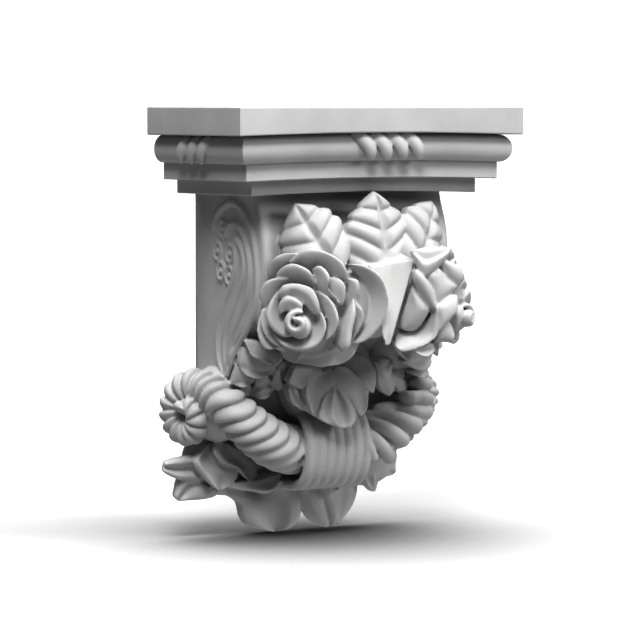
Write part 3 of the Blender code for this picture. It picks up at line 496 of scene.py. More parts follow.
# Petals of the right rose in the plane of the left rose's face: two edges, then heights across
FLANK_PETALS = (
    (((98.9, 61.3, -62), (114.9, 64.4, -66), (136.3, 63.2, -80)),
     ((98.9, 61.3, -62), (103.7, 49.4, -58), (111.4, 40.5, -60), (129.4, 53.1, -72), (136.3, 63.2, -80)),
     (0, 3, 2, 4, 0)),
    (((126.1, 49.8, -74), (131.7, 51.9, -76), (143.1, 46.0, -86), (147.9, 35.5, -94)),
     ((126.1, 49.8, -74), (131.7, 35.3, -78), (140.9, 28.3, -86), (147.9, 35.5, -94)), (0, 4, 4, 0)),
    (((112.7, 39.1, -66), (123.8, 45.1, -70), (130.5, 37.7, -75), (140.9, 28.3, -84)),
     ((112.7, 39.1, -66), (118.2, 27.0, -68), (123.0, 14.2, -70), (140.9, 28.3, -84)), (0, 3, 3, 0)),
    (((122.2, 12.4, -69), (131.7, 18.6, -74), (140.9, 20.5, -79), (140.9, 7.2, -80)),
     ((122.2, 12.4, -69), (123.4, -3.1, -70), (126.0, -9.0, -71), (140.9, 7.2, -80)), (0, 3, 3, 0)),
    (((124.3, -7.5, -76), (133.2, -2.8, -80), (138.9, -14.1, -84), (137.3, -20.9, -86)),
     ((124.3, -7.5, -76), (121.0, -19.8, -77), (126.6, -20.6, -82), (137.3, -20.9, -86)), (0, 3, 3, 0)),
    (((138.9, 4.7, -92), (146.6, 10.0, -98), (147.1, 0.9, -100)),
     ((138.9, 4.7, -92), (141.4, -7.8, -96), (147.1, 0.9, -100)), (0, 2, 0)),
    (((102.6, 45.1, -56), (110.3, 39.5, -58), (118.1, 28.3, -62), (121.5, 12.7, -66)),
     ((102.6, 45.1, -56), (101.5, 34.1, -57), (113.8, 15.0, -64), (121.5, 9.2, -66)), (0, 3, 3, -1)),
    (((121.6, 14.6, -67), (123.8, -2.9, -69), (122.7, -13.9, -69), (112.7, -22.4, -64), (92.8, -28.6, -59),
      (85.1, -22.9, -58)),
     ((121.6, 14.6, -67), (117.3, 3.7, -73), (108.6, -7.4, -75), (98.6, -11.8, -75), (88.6, -9.4, -72),
      (85.1, -22.9, -58)), (0, 3, 1, -1)),
    (((100.5, 30.5, -64), (114.8, 11.8, -66), (113.7, 4.1, -67), (107.2, -5.9, -69), (99.6, -11.0, -71),
      (89.6, -8.0, -67)),
     ((100.5, 30.5, -64), (95.0, 13.1, -62), (90.6, -0.1, -63), (89.6, -8.0, -67)), (0, 5, 6, 3, 0)),
    (((99.4, -24.9, -63), (109.6, -22.8, -72), (117.4, -22.0, -76), (122.0, -27.8, -80)),
     ((99.4, -24.9, -63), (107.2, -31.2, -66), (115.1, -33.3, -72), (122.0, -27.8, -80)), (0, 1, -1, 2, 0)),
)

# Outer petals under each rose, which bound it from below
SEPALS = (
    (((-12, -25, -37), (-8, -31, -36), (-4, -36, -36), (-1, -35, -35), (2, -31, -35), (5, -30, -36),
     (15, -30, -36), (23, -27, -37), (29, -22, -39), (31, -17, -40)),
     ((-12, -25, -37), (-8, -24, -35), (-3, -24, -34), (5, -24, -33), (13, -24, -33), (20, -20, -34),
      (24, -16, -37), (31, -17, -40)), (2, 0, -1, 0)),
    (((-15, -27, -44), (-12, -33, -44), (-6, -36, -45), (7, -38, -45), (20, -40, -46), (29, -39, -46),
     (39, -37, -48), (48, -31, -50), (54, -21, -52)),
     ((-15, -27, -44), (-9, -30, -43), (1, -31, -42), (15, -30, -41), (26, -26, -42), (29, -25, -42),
      (39, -22, -44), (47, -18, -48), (54, -21, -52)), (2, 0, -1, 0)),
)


ROSE_EYE = vec(-ROSE_X, -ROSE_DEPTH, -ROSE_DROP)
ROSE_FRAME = flower_frame(ROSE_YAW)


def flower_place(x, y, depth):
    """World point from a place in the plane of the left rose's face."""
    return ROSE_EYE + vec(x, y, depth) @ ROSE_FRAME


def flower_sheet(out, first, second, face, heights, thick, detail):
    """A petal whose edge curves lie in the plane of the left rose's face."""
    sheet(out, [flower_place(*p) for p in first], [flower_place(*p) for p in second], face, heights,
          thick, detail)


def rose(out, detail):
    """The left rose: a dome, a curled bud and rolled petals round it."""
    out.add(*blob(flower_place(1, 8, -22 - ROSE_HEIGHT), (ROSE_DOME, ROSE_DOME, ROSE_HEIGHT),
                  ROSE_FRAME, 14, 24))
    out.add(*blob(flower_place(4, 8, -52), (ROSE_DOME * 0.8, ROSE_DOME * 0.85, 30), ROSE_FRAME, 12, 20))
    turns = np.linspace(0, 1, 20 * detail)
    angle = np.radians(140 - 440 * turns)
    radius = 1.8 + (CURL_RADIUS - 3.8) * turns
    coil = np.stack([-0.5 + radius * np.cos(angle), 0.5 + radius * np.sin(angle), -4 - 4 * turns], axis=1)
    size = taper(len(coil), 0.15, 0.3)
    out.add(*tube(ROSE_EYE + coil @ ROSE_FRAME, 2.9 * size + 0.3, 6.0 * size, ROSE_FRAME[2]))
    out.add(*blob(flower_place(2, -3, -16), (10, 11, 9), ROSE_FRAME))
    for first, second, heights in ROSE_PETALS:
        x, y, _ = np.mean(first + second, axis=0)
        face = vec(x * ROSE_BULGE, (y - 8) * ROSE_BULGE, 1) @ ROSE_FRAME
        flower_sheet(out, first, second, face, heights, 8.0, detail)
    for first, second, heights in SEPALS:
        flower_sheet(out, first, second, ROSE_FRAME[2] - vec(0, 0, 0.5), heights, 8.0, detail)


def breast(out, detail):
    """Broad petals of the left rose, which turn away towards the centre line."""
    for first, second, heights in BREAST_PETALS:
        flower_sheet(out, first, second, vec(0.4, 0, 1) @ ROSE_FRAME, heights, 10.0, detail)
    out.add(*blob(flower_place(42, 12, -62), (26, 34, 22), flower_frame(15.0)))


def flank(out, detail):
    """The right rose as it turns its side to the left: petals that wrap round its bud."""
    out.add(*blob(flower_place(92, 8, -84), (16, 20, 14), ROSE_FRAME, 14, 22))
    out.add(*blob(flower_place(114, 18, -104), (29, 36, 26), ROSE_FRAME, 14, 22))
    for first, second, heights in FLANK_PETALS:
        x, y, _ = np.mean(first + second, axis=0)
        face = vec((x - 108) * 0.02, (y - 14) * 0.012, 1) @ ROSE_FRAME
        flower_sheet(out, first, second, face, heights, 8.0, detail)


def centre_petal(out, detail):
    """Folded petal between the roses: a blade with a crest on its right edge and a spike below."""
    left = flower_place(68, 40, -48)
    crest = flower_place(98, 45, -60)
    spike = flower_place(78, -22, -44)
    back = vec(0, 20, 4)
    rings = []
    for f in np.linspace(-0.12, 1, 12 * detail):
        a = left + (spike - left) * f
        b = crest + (spike - crest) * f
        mid = (a + b) / 2 + vec(0, 2.5, 0) * (1 - f)
        tip = max(1 - f, 0.06)
        width = unit(b - a) * 3.0
        rings.append([a - width, a + back * tip, b + back * tip + width, b + width,
                      b + vec(0, -2.5, 0), mid])
    out.add(*loft(rings))
    out.add(*blob((4, -122, -90), (50, 28, 38)))


def horn_path(detail):
    """Centre line of the left horn: from under the tie, out and back, then curled into a volute."""
    yaw = math.radians(VOLUTE_YAW)
    across = vec(math.cos(yaw), -math.sin(yaw), 0)
    axis = vec(-math.sin(yaw), -math.cos(yaw), 0)
    centre = vec(-VOLUTE_X, -VOLUTE_DEPTH, -VOLUTE_DROP)
    points = [vec(8, -TIE_DEPTH + 6, -TIE_DROP - 2), vec(-31, -TIE_DEPTH - 10, -TIE_DROP - 1),
              vec(-62, -TIE_DEPTH - 23, -TIE_DROP + 7), vec(-88, -TIE_DEPTH - 25, -TIE_DROP + 24),
              vec(-107, -TIE_DEPTH - 19, -TIE_DROP + 43)]
    turns = np.linspace(58, 58 + 420, 13)
    for i, turn in enumerate(turns):
        f = i / (len(turns) - 1)
        radius = VOLUTE_RADIUS * (1 - f) ** 0.75 + 1.5
        a = math.radians(turn)
        points.append(centre + across * radius * math.cos(a) + vec(0, 0, 1) * radius * math.sin(a)
                      + axis * VOLUTE_THROW * (f ** 1.5 - 0.5))
    return curve(points, 12 * detail)


def horn(out, detail, slim=0.0):
    """The left horn: a tube whose surface swells in slanting ribs, slimmer by slim all along."""
    path = horn_path(detail)
    tangents = np.gradient(path, axis=0)
    run = np.concatenate([[0], np.cumsum(np.linalg.norm(np.diff(path, axis=0), axis=1))])
    f = run / run[-1]
    turn = 0.36
    radius = np.where(f < turn, HORN_RADIUS + (HORN_TURN_RADIUS - HORN_RADIUS) * (f / turn) ** 1.5,
                      HORN_TURN_RADIUS + (HORN_TIP_RADIUS - HORN_TURN_RADIUS)
                      * (np.clip(f - turn, 0, 1) / (1 - turn)) ** 0.9)
    radius = (radius - slim) * taper(len(f), 0.001, 0.06)
    pitch = HORN_RIB_PITCH * np.maximum(radius, 4.0) / HORN_RADIUS
    ribs = np.concatenate([[0], np.cumsum(np.diff(run) / pitch[1:])])
    lay = HORN_LAY * np.clip(1.0 - (f - 0.3) / 0.3, 0.0, 1.0) / pitch
    yaw = math.radians(VOLUTE_YAW)
    axis = unit(vec(-math.sin(yaw), -math.cos(yaw) - 0.5, 0))
    sides = 30 * detail
    rings = []
    for i, p in enumerate(path):
        t = unit(tangents[i])
        n = unit(axis - t * np.dot(axis, t))
        b = np.cross(t, n)
        ring = []
        for k in range(sides):
            a = 2 * math.pi * k / sides
            q = (ribs[i] - lay[i] * (0.5 - 0.5 * math.cos(a))) % 1.0
            rib = math.sin(math.pi * q ** 0.6) ** 0.6
            size = radius[i] + HORN_RIB_RISE * (radius[i] / HORN_RADIUS) ** 0.5 * (2 * rib - 1.4)
            ring.append(p + (b * math.cos(a) + n * math.sin(a)) * size)
        rings.append(ring)
    out.add(*loft(rings))


def horn_fingers(out, detail):
    """Long ribs of the right horn, which fan out from the tie over its slimmer tube."""
    for points, width in HORN_FINGERS:
        path = evenly(points, 12 * detail)
        size = taper(12 * detail, 0.35, 0.14)
        swell = np.linspace(0.42, 0.52, 12 * detail)
        out.add(*tube(path, width * swell * size, (width * 0.34 + 1.5) * size, vec(-0.4, -1, 0)))


def tie(out, detail):
    """Cords round the middle of the horns."""
    for i in range(CORD_COUNT):
        x = (i - (CORD_COUNT - 1) / 2) * CORD_PITCH
        a = np.radians(np.linspace(-112, 112, 16 * detail))
        reach = TIE_REACH * np.sign(np.cos(a)) * np.abs(np.cos(a)) ** TIE_SQUARENESS
        path = np.stack([np.full(len(a), x), -TIE_DEPTH - reach, -TIE_DROP - TIE_HALF_HEIGHT * np.sin(a)],
                        axis=1)
        outward = path - vec(x, -TIE_DEPTH, -TIE_DROP)
        size = np.full(len(a), CORD_RADIUS)
        out.add(*tube(path, size, size * 0.85, outward, oval(12)))
    out.add(*blob((0, -TIE_DEPTH, -TIE_DROP), (34, TIE_REACH, TIE_HALF_HEIGHT)))


# Petals of the lilies: base, tip, half width, pleat depth and pleats
RIGHT_LILY_PETALS = (
    ((82, -14, -228), (113, -12, -236), 11, 2.2, 0.8),
    ((78, -18, -244), (108, -16, -262), 12, 2.4, 1.0),
    ((66, -22, -240), (82, -20, -278), 12, 2.2, 1.0),
)
# The left lily: two edges, heights across and thickness
LILY_PETALS = (
    (((-106, -20, -229), (-118, -22, -233), (-145, -24, -237), (-148, -24, -241)),
     ((-108, -20, -259), (-122, -22, -255), (-134, -24, -253), (-148, -24, -246), (-148, -24, -241)),
      (0, 4, 1, -2, 3, 0), 9),
    (((-120, -18, -253), (-130, -18, -255), (-133, -18, -265), (-134, -18, -270), (-129, -16, -274)),
     ((-90, -22, -266), (-94, -20, -272), (-108, -18, -274), (-118, -16, -274), (-129, -16, -274)),
      (0, 3, -1, 2, 3, 0), 9),
    (((-104, -22, -224), (-119, -26, -234), (-121, -29, -240), (-114, -32, -251), (-106, -34, -260),
     (-96, -34, -266)),
     ((-91, -24, -221), (-98, -28, -231), (-93, -30, -240), (-81, -32, -246), (-77, -34, -252),
      (-83, -34, -260), (-96, -34, -266)), (0, 6, 2, -2, -3, -2, 0), 12),
    (((-96, -28, -219), (-103, -34, -230), (-97, -36, -239), (-87, -37, -243), (-80, -38, -246),
     (-75, -39, -253), (-67, -38, -258)),
     ((-80, -30, -227), (-68, -30, -235), (-58, -31, -242), (-55, -32, -248), (-59, -35, -255),
      (-67, -38, -258)), (0, 3, -1, -2, 0, 0), 9),
    (((-82, -22, -264), (-77, -30, -260), (-63, -36, -261), (-51, -40, -265), (-34, -42, -258)),
     ((-82, -22, -264), (-76, -30, -264), (-64, -38, -267), (-51, -42, -269), (-34, -42, -258)),
      (0, 2, 3, 0), 9),
)

# Lobes at the foot, from left to right, and a flap over the left one: two edges and heights across
FOOT_LOBES = (
    (((-86, -22, -260), (-80, -24, -271), (-67, -24, -280), (-62, -22, -293), (-53, -20, -302),
     (-27, -18, -309)),
     ((-18, -30, -250), (-5, -28, -276), (-5, -25, -294), (-12, -22, -304), (-27, -18, -308)),
     (0, 4, 2, -2, -3, 0, 5, 5, 0)),
    (((17, -22, -250), (28, -20, -276), (35, -19, -295), (40, -18, -306)),
     ((67, -14, -258), (64, -14, -281), (56, -14, -295), (40, -18, -306)), (0, 3, 0, 2, 0)),
    (((-16, -36, -250), (-7, -32, -277), (2, -30, -294), (13, -27, -303), (24, -25, -307)),
     ((13, -34, -252), (27, -32, -276), (32, -30, -292), (33, -27, -302), (24, -25, -307)),
     (0, 5, 6, 5, 0, 3, 4, 0)),
    (((-88, -30, -262), (-75, -36, -259), (-55, -42, -257), (-36, -44, -251)),
     ((-88, -30, -262), (-71, -40, -266), (-48, -46, -267), (-36, -44, -251)), (0, -1, 0, 3, 0)),
    (((8, -36, -258), (24, -38, -262), (38, -34, -266)),
     ((8, -36, -258), (21, -42, -273), (38, -34, -266)), (0, 0, 3, 0)),
)

# Long ribs of the right horn: centre line and width
HORN_FINGERS = (
    (((94, -54, -167), (96, -67, -166), (106, -69, -168)), 11.0),
    (((93, -51, -178), (91, -78, -175), (102, -81, -176)), 12.2),
    (((105, -5, -193), (78, -73, -187), (88, -82, -187), (101, -85, -188)), 13.2),
    (((95, -80, -191), (101, -81, -193), (105, -81, -194)), 7.3),
    (((50, -63, -195), (70, -69, -197), (83, -82, -200), (102, -81, -201)), 13.7),
    (((84, -84, -206), (91, -82, -209), (96, -82, -209)), 7.3),
    (((39, -57, -201), (52, -63, -203), (64, -77, -205), (75, -85, -210), (88, -84, -214)), 14.4),
    (((40, -56, -206), (48, -68, -211), (56, -81, -216), (65, -83, -222), (74, -82, -228)), 14.2),
    (((34, -65, -213), (39, -74, -220), (46, -80, -228), (59, -75, -239), (65, -70, -242)), 14.4),
    (((28, -82, -222), (34, -82, -232), (40, -80, -242)), 9.8),
)

# Leaves under the roses and the spray over the tie: two edges and heights across
LEAF_LOBES = (
    (((-106, -92, -128), (-103, -94, -136), (-101, -96, -141), (-87, -95, -146), (-75, -94, -152)),
     ((-106, -92, -128), (-92, -90, -129), (-74, -88, -136), (-65, -91, -144), (-75, -94, -152)),
      (2.5, 0, 1, 1, 0)),
    (((-104, -78, -149), (-101, -80, -156), (-96, -83, -160), (-88, -84, -162), (-79, -84, -160),
     (-68, -84, -154)),
     ((-104, -78, -149), (-103, -81, -142), (-99, -84, -136), (-89, -86, -142), (-78, -85, -147),
      (-68, -84, -154)), (2.5, 0, 1.5, 1, 0)),
    (((-105, -68, -167), (-101, -71, -169), (-96, -74, -170), (-88, -73, -168), (-82, -72, -164)),
     ((-105, -68, -167), (-104, -72, -160), (-102, -76, -152), (-98, -77, -156), (-90, -74, -161),
      (-82, -72, -164)), (2.5, 0, 1, 1, 0)),
    (((-94, -62, -172), (-90, -62, -177), (-87, -62, -179), (-83, -62, -179), (-78, -62, -175)),
     ((-94, -62, -172), (-93, -65, -168), (-85, -65, -168), (-78, -62, -175)), (2, 0, 1, 0)),
    (((-82, -62, -178), (-77, -65, -181), (-72, -68, -182), (-64, -67, -179), (-59, -66, -174)),
     ((-82, -62, -178), (-80, -66, -171), (-80, -70, -164), (-70, -71, -162), (-62, -68, -168),
      (-59, -66, -174)), (3, 0, 3, 0, 1, 0)),
    (((-63, -76, -154), (-64, -73, -164), (-63, -70, -171), (-58, -69, -175), (-51, -68, -175)),
     ((-63, -76, -154), (-54, -74, -150), (-46, -72, -159), (-45, -70, -168), (-51, -68, -175)),
      (0, 1, 4, 1, 2, 0)),
)
CENTRE_LOBES = (
    (((-50, -86, -153), (-54, -86, -160), (-57, -86, -166), (-50, -87, -170), (-44, -88, -173)),
     ((-50, -86, -153), (-27, -87, -154), (-23, -88, -158), (-35, -88, -164), (-41, -88, -169),
      (-44, -88, -173)), (2, 0, 1, 2, 0)),
    (((-52, -82, -166), (-55, -83, -174), (-53, -84, -183), (-48, -86, -189), (-34, -88, -195)),
     ((-52, -82, -166), (-41, -83, -174), (-37, -84, -180), (-35, -86, -188), (-34, -88, -195)),
      (1, 0, 3, 1, 0)),
    (((18, -80, -144), (4, -82, -154), (16, -85, -164), (24, -86, -172), (30, -85, -178), (36, -84, -181)),
     ((18, -80, -144), (29, -82, -148), (37, -83, -157), (39, -84, -166), (38, -84, -175),
      (36, -84, -181)), (2, 0, 1, 0, 0)),
    (((42, -76, -152), (45, -77, -164), (45, -78, -173), (50, -78, -181), (57, -78, -185)),
     ((42, -76, -152), (54, -75, -159), (62, -74, -167), (65, -75, -174), (64, -76, -180),
      (57, -78, -185)), (0, 1, 3, 1, 0)),
    (((57, -70, -159), (64, -71, -168), (67, -72, -176), (73, -72, -182), (80, -72, -180)),
     ((57, -70, -159), (69, -69, -164), (79, -68, -171), (84, -70, -177), (80, -72, -180)), (0, 1, 2, 0)),
    (((-12, -86, -155), (-30, -87, -162), (-40, -89, -170), (-42, -90, -178), (-38, -91, -189),
     (-36, -93, -196), (-33, -94, -198)),
     ((-12, -86, -155), (-9, -88, -161), (-12, -91, -172), (-24, -92, -182), (-30, -93, -192),
      (-33, -94, -198)), (2, 0, 0, 1, 0)),
    (((-8, -88, -155), (-10, -90, -172), (2, -92, -182), (11, -93, -195), (16, -94, -200)),
     ((-8, -88, -155), (2, -89, -155), (13, -89, -163), (22, -90, -172), (24, -91, -185),
      (21, -93, -196), (16, -94, -200)), (0, 1, 0, 0, 2)),
    (((-12, -92, -172), (-24, -94, -180), (-29, -95, -190), (-32, -97, -198), (-24, -99, -204),
     (-9, -101, -209)),
     ((-12, -92, -172), (-5, -95, -178), (3, -98, -188), (7, -99, -198), (3, -100, -206),
      (-9, -101, -209)), (1, 1, 4, -1, -2, 2, 0)),
)


def lilies(out, detail):
    """Open flowers with pleated petals at the foot of the console, the right one turned further back."""
    for base, tip, spread, fold, folds in RIGHT_LILY_PETALS:
        smooth_petal(out, base, tip, (0.35, -1, -0.1), spread, thick=9, fall=3, bend=3, detail=detail,
                     point=0.55, fold=fold, folds=folds)
    for first, second, heights, thick in LILY_PETALS:
        sheet(out, first, second, (-0.35, -1, -0.1), heights, thick, detail)
    for side in (-1, 1):
        out.add(*blob((side * (LILY_X - 32), -10, -LILY_DROP + 6), (36, 18, 26)))
    out.add(*blob((-LILY_X + 3, -LILY_DEPTH + 10, -LILY_DROP + 14), (17, 14, 22)))


def foot(out, detail):
    """Pleated lobes that hang at the foot."""
    for first, second, heights in FOOT_LOBES:
        sheet(out, first, second, (0, -1, -0.1), heights, 13.0, detail)
    for side in (-1, 1):
        out.add(*blob((side * LOBE_X, -LOBE_DEPTH / 2, -LOBE_BOTTOM + 54), (LOBE_WIDTH / 2, LOBE_DEPTH, 34)))


def leaves(out, detail):
    """Leaves of the left half, above and below the rose."""
    leaf(out, (-37, -140, -72), (-73, -121, -7), (-0.35, -0.95, 0.15), spread=31, pairs=4, thick=9,
         bulge=4.5, fall=8, bend=5, rake=0.6, notch=0.16, sway=-2, detail=detail)
    for first, second, heights in LEAF_LOBES:
        sheet(out, first, second, (-0.3, -1, -0.2), heights, 11.0, detail)
    out.add(*blob((-74, -58, -142), (28, 20, 24)))
    out.add(*blob((-96, -30, -188), (30, 34, 34)))


def centre_leaves(out, detail):
    """Leaves on the centre line: one above the roses and a spray over the tie."""
    leaf(out, (6, -143, -88), (2, -133, 3), (0.1, -1, 0.05), spread=36, pairs=5, thick=10,
         bulge=4.5, fall=8, bend=5, rake=0.7, notch=0.16, sway=3, detail=detail)
    for first, second, heights in CENTRE_LOBES:
        sheet(out, first, second, (0, -1, -0.2), heights, 10.0, detail)
    out.add(*blob((0, -56, -165), (52, 28, 48)))


def torus_flutes(out, detail):
    """Slanting leaf flutes on the torus, in the middle of the front and of both sides."""
    middle = CAPITAL_HEIGHT - SLAB_HEIGHT - TORUS_HEIGHT / 2
    front = SLAB_DEPTH - TORUS_INSET + TORUS_BULGE
    side = SLAB_WIDTH / 2 - TORUS_INSET + TORUS_BULGE
    for i in range(FLUTE_COUNT):
        shift = FLUTE_SHIFT + (i - (FLUTE_COUNT - 1) / 2) * FLUTE_PITCH
        path = []
        for f in np.linspace(0, 1, 8 * detail):
            a = math.radians(62 - 126 * f ** 1.4)
            path.append((shift + FLUTE_SLANT * (2 * math.sin(f * math.pi / 2) - 1),
                         -front + TORUS_BULGE * (1 - math.cos(a)) - 1.0,
                         middle + TORUS_HEIGHT / 2 * math.sin(a) + ARCH_RISE))
        size = taper(len(path), 0.45, 0.35)
        out.add(*tube(path, FLUTE_PITCH * 0.4 * size, 5.0 * size, (0.3, -1, 0)))
    for sign in (-1, 1):
        for i in range(FLUTE_COUNT - 1):
            shift = (i - (FLUTE_COUNT - 2) / 2) * FLUTE_PITCH
            path = []
            for a in np.radians(np.linspace(65, -65, 7 * detail)):
                path.append((sign * (side - TORUS_BULGE * (1 - math.cos(a)) + 0.3),
                             -SLAB_DEPTH * 0.42 + shift - FLUTE_SLANT * math.sin(a),
                             middle + TORUS_HEIGHT / 2 * math.sin(a)))
            size = taper(len(path), 0.5, 0.3)
            out.add(*tube(path, FLUTE_PITCH * 0.4 * size, 3.5 * size, (sign, 0, 0)))


def carved_forms(detail):
    """Every carved form: what both halves share, the horns and what stands once."""
    left = Shells()
    scroll_relief(left, detail)
    rose(left, detail)
    leaves(left, detail)
    out = Shells()
    out.add(*body())
    out.join(left)
    out.join(left.mirror())
    horn(out, detail)
    slim = Shells()
    horn(slim, detail, HORN_SLIM)
    out.join(slim.mirror())
    horn_fingers(out, detail)
    breast(out, detail)
    centre_petal(out, detail)
    flank(out, detail)
    centre_leaves(out, detail)
    torus_flutes(out, detail)
    tie(out, detail)
    lilies(out, detail)
    foot(out, detail)
    return out


def mesh_object(name, shells):
    mesh = bpy.data.meshes.new(name)
    mesh.from_pydata([tuple(c * MILLIMETRE for c in v) for v in shells.verts], [], shells.faces)
    mesh.update()
    obj = bpy.data.objects.new(name, mesh)
    bpy.context.scene.collection.objects.link(obj)
    return obj


def evaluated(obj):
    """The object's mesh with its modifiers, as a new mesh."""
    return bpy.data.meshes.new_from_object(obj.evaluated_get(bpy.context.evaluated_depsgraph_get()))


# Fine skin of the casting: voxel in millimetres, most triangles, rounds of smoothing and form steps
FINE_VOXEL = 0.85
FINE_TRIANGLES = 190000
SOFTENING = 3
DETAIL = 3

# Camera and floor: places and sizes in metres, turns in degrees
LENS = 200.25
CAMERA_PLACE = (-1.7628, -2.7244, 0.0847)
CAMERA_DOWN = 3.568
CAMERA_TURN = -33.4
FLOOR_LEVEL = -0.3095
FLOOR_TONE = 0.56
FLOOR_SIZE = 30.0

# Painted contact shadow: the floor's colour darkens by ambient occlusion under the casting; reach in metres,
# share that is fully dark and the tone of the painted shadow
PAINTED_SHADOW_REACH = 0.27
PAINTED_SHADOW_FROM = 0.25
PAINTED_SHADOW_TONE = 0.08

# Finish: range of tone and of roughness, then the scales of the mottling and of the fine tooth
PRIMER_TONES = (0.56, 0.62)
PRIMER_ROUGHNESS = (0.48, 0.62)
MOTTLE_SCALE = 22.0
TOOTH_SCALE = 900.0
TOOTH_DEPTH = 0.3

# Light: sky overhead and how closely it gathers there, sky from below and all round, the backdrop that
# the camera sees, then lamps by azimuth, elevation and power
SKY_ABOVE = 4.6
SKY_GATHER = 5.0
SKY_BELOW = 0.9
SKY_ROUND = 0.06
BACKDROP = 1.3
LAMPS = (("key", -38, 48, 2.1), ("side", 40, 20, 1.1), ("rim", 42, 50, 1.1))
LAMP_SPREAD = 20
CONTRAST = 0.62


def fused(shells):
    """One fine closed skin over all the shells, softened as a casting is."""
    source = mesh_object("shells", shells)
    remesh = source.modifiers.new("fuse", "REMESH")
    remesh.mode = "VOXEL"
    remesh.voxel_size = FINE_VOXEL * MILLIMETRE
    mesh = evaluated(source)
    bpy.data.objects.remove(source)
    bm = bmesh.new()
    bm.from_mesh(mesh)
    cut = bmesh.ops.bisect_plane(bm, geom=bm.verts[:] + bm.edges[:] + bm.faces[:], dist=1e-7,
                                 plane_co=(0, 0, 0), plane_no=(0, 1, 0), clear_outer=True)
    rim = [e for e in cut["geom_cut"] if isinstance(e, bmesh.types.BMEdge)]
    bmesh.ops.holes_fill(bm, edges=rim, sides=0)
    inner = [v for v in bm.verts if v.co.y < -1e-5]
    for _ in range(SOFTENING):
        bmesh.ops.smooth_vert(bm, verts=inner, factor=0.5, use_axis_x=True, use_axis_y=True,
                              use_axis_z=True)
    bmesh.ops.triangulate(bm, faces=bm.faces)
    bmesh.ops.recalc_face_normals(bm, faces=bm.faces)
    bm.to_mesh(mesh)
    count = len(bm.faces)
    bm.free()
    skin = bpy.data.objects.new("skin", mesh)
    bpy.context.scene.collection.objects.link(skin)
    if count > FINE_TRIANGLES:
        decimate = skin.modifiers.new("thin", "DECIMATE")
        decimate.ratio = FINE_TRIANGLES / count
        thin = evaluated(skin)
        skin.modifiers.clear()
        skin.data = thin
    return skin


def polyurethane():
    """Matt primer over cast polyurethane: nearly white, with a fine tooth and slight mottling."""
    material = bpy.data.materials.new("primed_polyurethane")
    material.use_nodes = True
    nodes = material.node_tree.nodes
    links = material.node_tree.links
    shader = nodes["Principled BSDF"]
    place = nodes.new("ShaderNodeTexCoord")
    mottle = nodes.new("ShaderNodeTexNoise")
    mottle.inputs["Scale"].default_value = MOTTLE_SCALE
    mottle.inputs["Detail"].default_value = 5.0
    links.new(place.outputs["Object"], mottle.inputs["Vector"])
    tone = nodes.new("ShaderNodeValToRGB")
    for stop, position, grey in zip(tone.color_ramp.elements, (0.3, 0.7), PRIMER_TONES):
        stop.position = position
        stop.color = (grey, grey, grey - 0.002, 1.0)
    links.new(mottle.outputs["Fac"], tone.inputs["Fac"])
    links.new(tone.outputs["Color"], shader.inputs["Base Color"])
    sheen = nodes.new("ShaderNodeMapRange")
    sheen.inputs["To Min"].default_value, sheen.inputs["To Max"].default_value = PRIMER_ROUGHNESS
    links.new(mottle.outputs["Fac"], sheen.inputs["Value"])
    links.new(sheen.outputs["Result"], shader.inputs["Roughness"])
    tooth = nodes.new("ShaderNodeTexNoise")
    tooth.inputs["Scale"].default_value = TOOTH_SCALE
    tooth.inputs["Detail"].default_value = 3.0
    links.new(place.outputs["Object"], tooth.inputs["Vector"])
    bump = nodes.new("ShaderNodeBump")
    bump.inputs["Strength"].default_value = 0.06
    bump.inputs["Distance"].default_value = TOOTH_DEPTH * MILLIMETRE
    links.new(tooth.outputs["Fac"], bump.inputs["Height"])
    links.new(bump.outputs["Normal"], shader.inputs["Normal"])
    shader.inputs["Specular IOR Level"].default_value = 0.35
    return material


def piece(obj, name, material):
    """Names a piece, gives it its finish and stands it for the solid."""
    obj.name = name
    obj.data.materials.clear()
    obj.data.materials.append(material)
    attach(obj, "root")
    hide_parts("corbel")


def mouldings(finish):
    """The capital, with its edges eased."""
    obj = mesh_object("capital", capital())
    ease = obj.modifiers.new("ease", "BEVEL")
    ease.width = EASE_WIDTH * MILLIMETRE
    ease.segments = EASE_SEGMENTS
    ease.limit_method = "ANGLE"
    ease.angle_limit = math.radians(EASE_ANGLE)
    obj.data = evaluated(obj)
    obj.modifiers.clear()
    obj.data.shade_smooth()
    obj.data.set_sharp_from_angle(angle=math.radians(SHARP_ANGLE))
    even = obj.modifiers.new("even", "WEIGHTED_NORMAL")
    even.keep_sharp = True
    obj.data = evaluated(obj)
    obj.modifiers.clear()
    piece(obj, "capital", finish)


def sun(name, azimuth, elevation, power):
    """A distant soft lamp: azimuth from the front towards +X, elevation above the horizon."""
    light = bpy.data.lights.new(name, "SUN")
    light.energy = power
    light.angle = math.radians(LAMP_SPREAD)
    obj = bpy.data.objects.new(name, light)
    turn, rise = math.radians(azimuth), math.radians(elevation)
    way = Vector((math.sin(turn) * math.cos(rise), -math.cos(turn) * math.cos(rise), math.sin(rise)))
    obj.rotation_euler = way.to_track_quat("Z", "Y").to_euler()
    bpy.context.scene.collection.objects.link(obj)


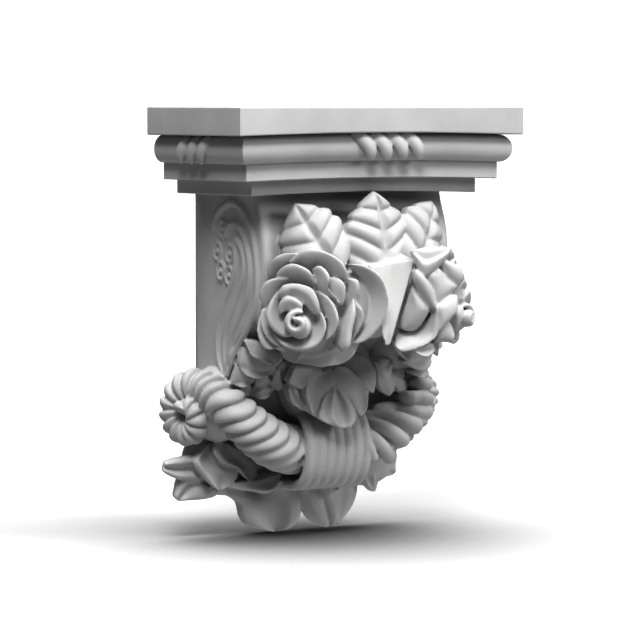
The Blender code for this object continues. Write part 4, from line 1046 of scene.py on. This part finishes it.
def pale_floor_with_painted_shadow():
    """White floor with a painted contact shadow: its colour darkens softly, by ambient occlusion, where the
    casting comes near it.
    """
    material = bpy.data.materials.new("pale_floor_with_painted_shadow")
    material.use_nodes = True
    nodes = material.node_tree.nodes
    links = material.node_tree.links
    shader = nodes["Principled BSDF"]
    shader.inputs["Roughness"].default_value = 0.9
    # Painted shadow: ambient occlusion darkens the floor's base colour where the casting comes close
    near = nodes.new("ShaderNodeAmbientOcclusion")
    near.samples = 8
    near.inputs["Distance"].default_value = PAINTED_SHADOW_REACH
    painted_shadow_ramp = nodes.new("ShaderNodeMapRange")
    painted_shadow_ramp.inputs["From Min"].default_value = PAINTED_SHADOW_FROM
    painted_shadow_ramp.inputs["To Min"].default_value = PAINTED_SHADOW_TONE
    painted_shadow_ramp.inputs["To Max"].default_value = FLOOR_TONE
    links.new(near.outputs["AO"], painted_shadow_ramp.inputs["Value"])
    links.new(painted_shadow_ramp.outputs["Result"], shader.inputs["Base Color"])
    return material


def sky():
    """Light from all round: strongest overhead, weak at the horizon and soft from below."""
    world = bpy.data.worlds.new("studio")
    world.use_nodes = True
    nodes = world.node_tree.nodes
    links = world.node_tree.links

    def math_node(operation, first, second):
        node = nodes.new("ShaderNodeMath")
        node.operation = operation
        for socket, value in zip(node.inputs, (first, second)):
            if isinstance(value, (int, float)):
                socket.default_value = value
            else:
                links.new(value, socket)
        return node.outputs[0]

    place = nodes.new("ShaderNodeTexCoord")
    split = nodes.new("ShaderNodeSeparateXYZ")
    links.new(place.outputs["Generated"], split.inputs["Vector"])
    height = split.outputs["Z"]
    above = math_node("MULTIPLY", math_node("POWER", math_node("MAXIMUM", height, 0.0), SKY_GATHER),
                      SKY_ABOVE)
    below = math_node("MULTIPLY", math_node("MINIMUM", height, 0.0), -SKY_BELOW)
    strength = math_node("ADD", math_node("ADD", above, below), SKY_ROUND)
    light = nodes["Background"]
    light.inputs["Color"].default_value = (1, 1, 1, 1)
    links.new(strength, light.inputs["Strength"])
    backdrop = nodes.new("ShaderNodeBackground")
    backdrop.inputs["Color"].default_value = (1, 1, 1, 1)
    backdrop.inputs["Strength"].default_value = BACKDROP
    rays = nodes.new("ShaderNodeLightPath")
    mix = nodes.new("ShaderNodeMixShader")
    links.new(rays.outputs["Is Camera Ray"], mix.inputs[0])
    links.new(light.outputs["Background"], mix.inputs[1])
    links.new(backdrop.outputs["Background"], mix.inputs[2])
    links.new(mix.outputs["Shader"], nodes["World Output"].inputs["Surface"])
    bpy.context.scene.world = world


def studio():
    """White floor with a painted contact shadow, soft lamps and sky."""
    bpy.ops.mesh.primitive_plane_add(size=FLOOR_SIZE, location=(0, 0, FLOOR_LEVEL))
    floor = bpy.context.object
    floor.name = "floor"
    floor.data.materials.append(pale_floor_with_painted_shadow())
    floor.visible_diffuse = False
    floor.visible_glossy = False
    sky()
    for lamp in LAMPS:
        sun(*lamp)
    view = bpy.context.scene.view_settings
    view.view_transform = "Standard"
    view.look = "None"
    view.gamma = CONTRAST


def camera():
    """The camera at the photo's angle."""
    data = bpy.data.cameras.new("camera")
    data.lens = LENS
    data.clip_start = 0.05
    data.clip_end = 60.0
    obj = bpy.data.objects.new("camera", data)
    obj.location = CAMERA_PLACE
    obj.rotation_euler = (math.radians(90 - CAMERA_DOWN), 0, math.radians(CAMERA_TURN))
    bpy.context.scene.collection.objects.link(obj)
    bpy.context.scene.camera = obj


camera()
studio()
finish = polyurethane()
mouldings(finish)
carving = fused(carved_forms(DETAIL))
for face in carving.data.polygons:
    face.use_smooth = True
piece(carving, "carving", finish)
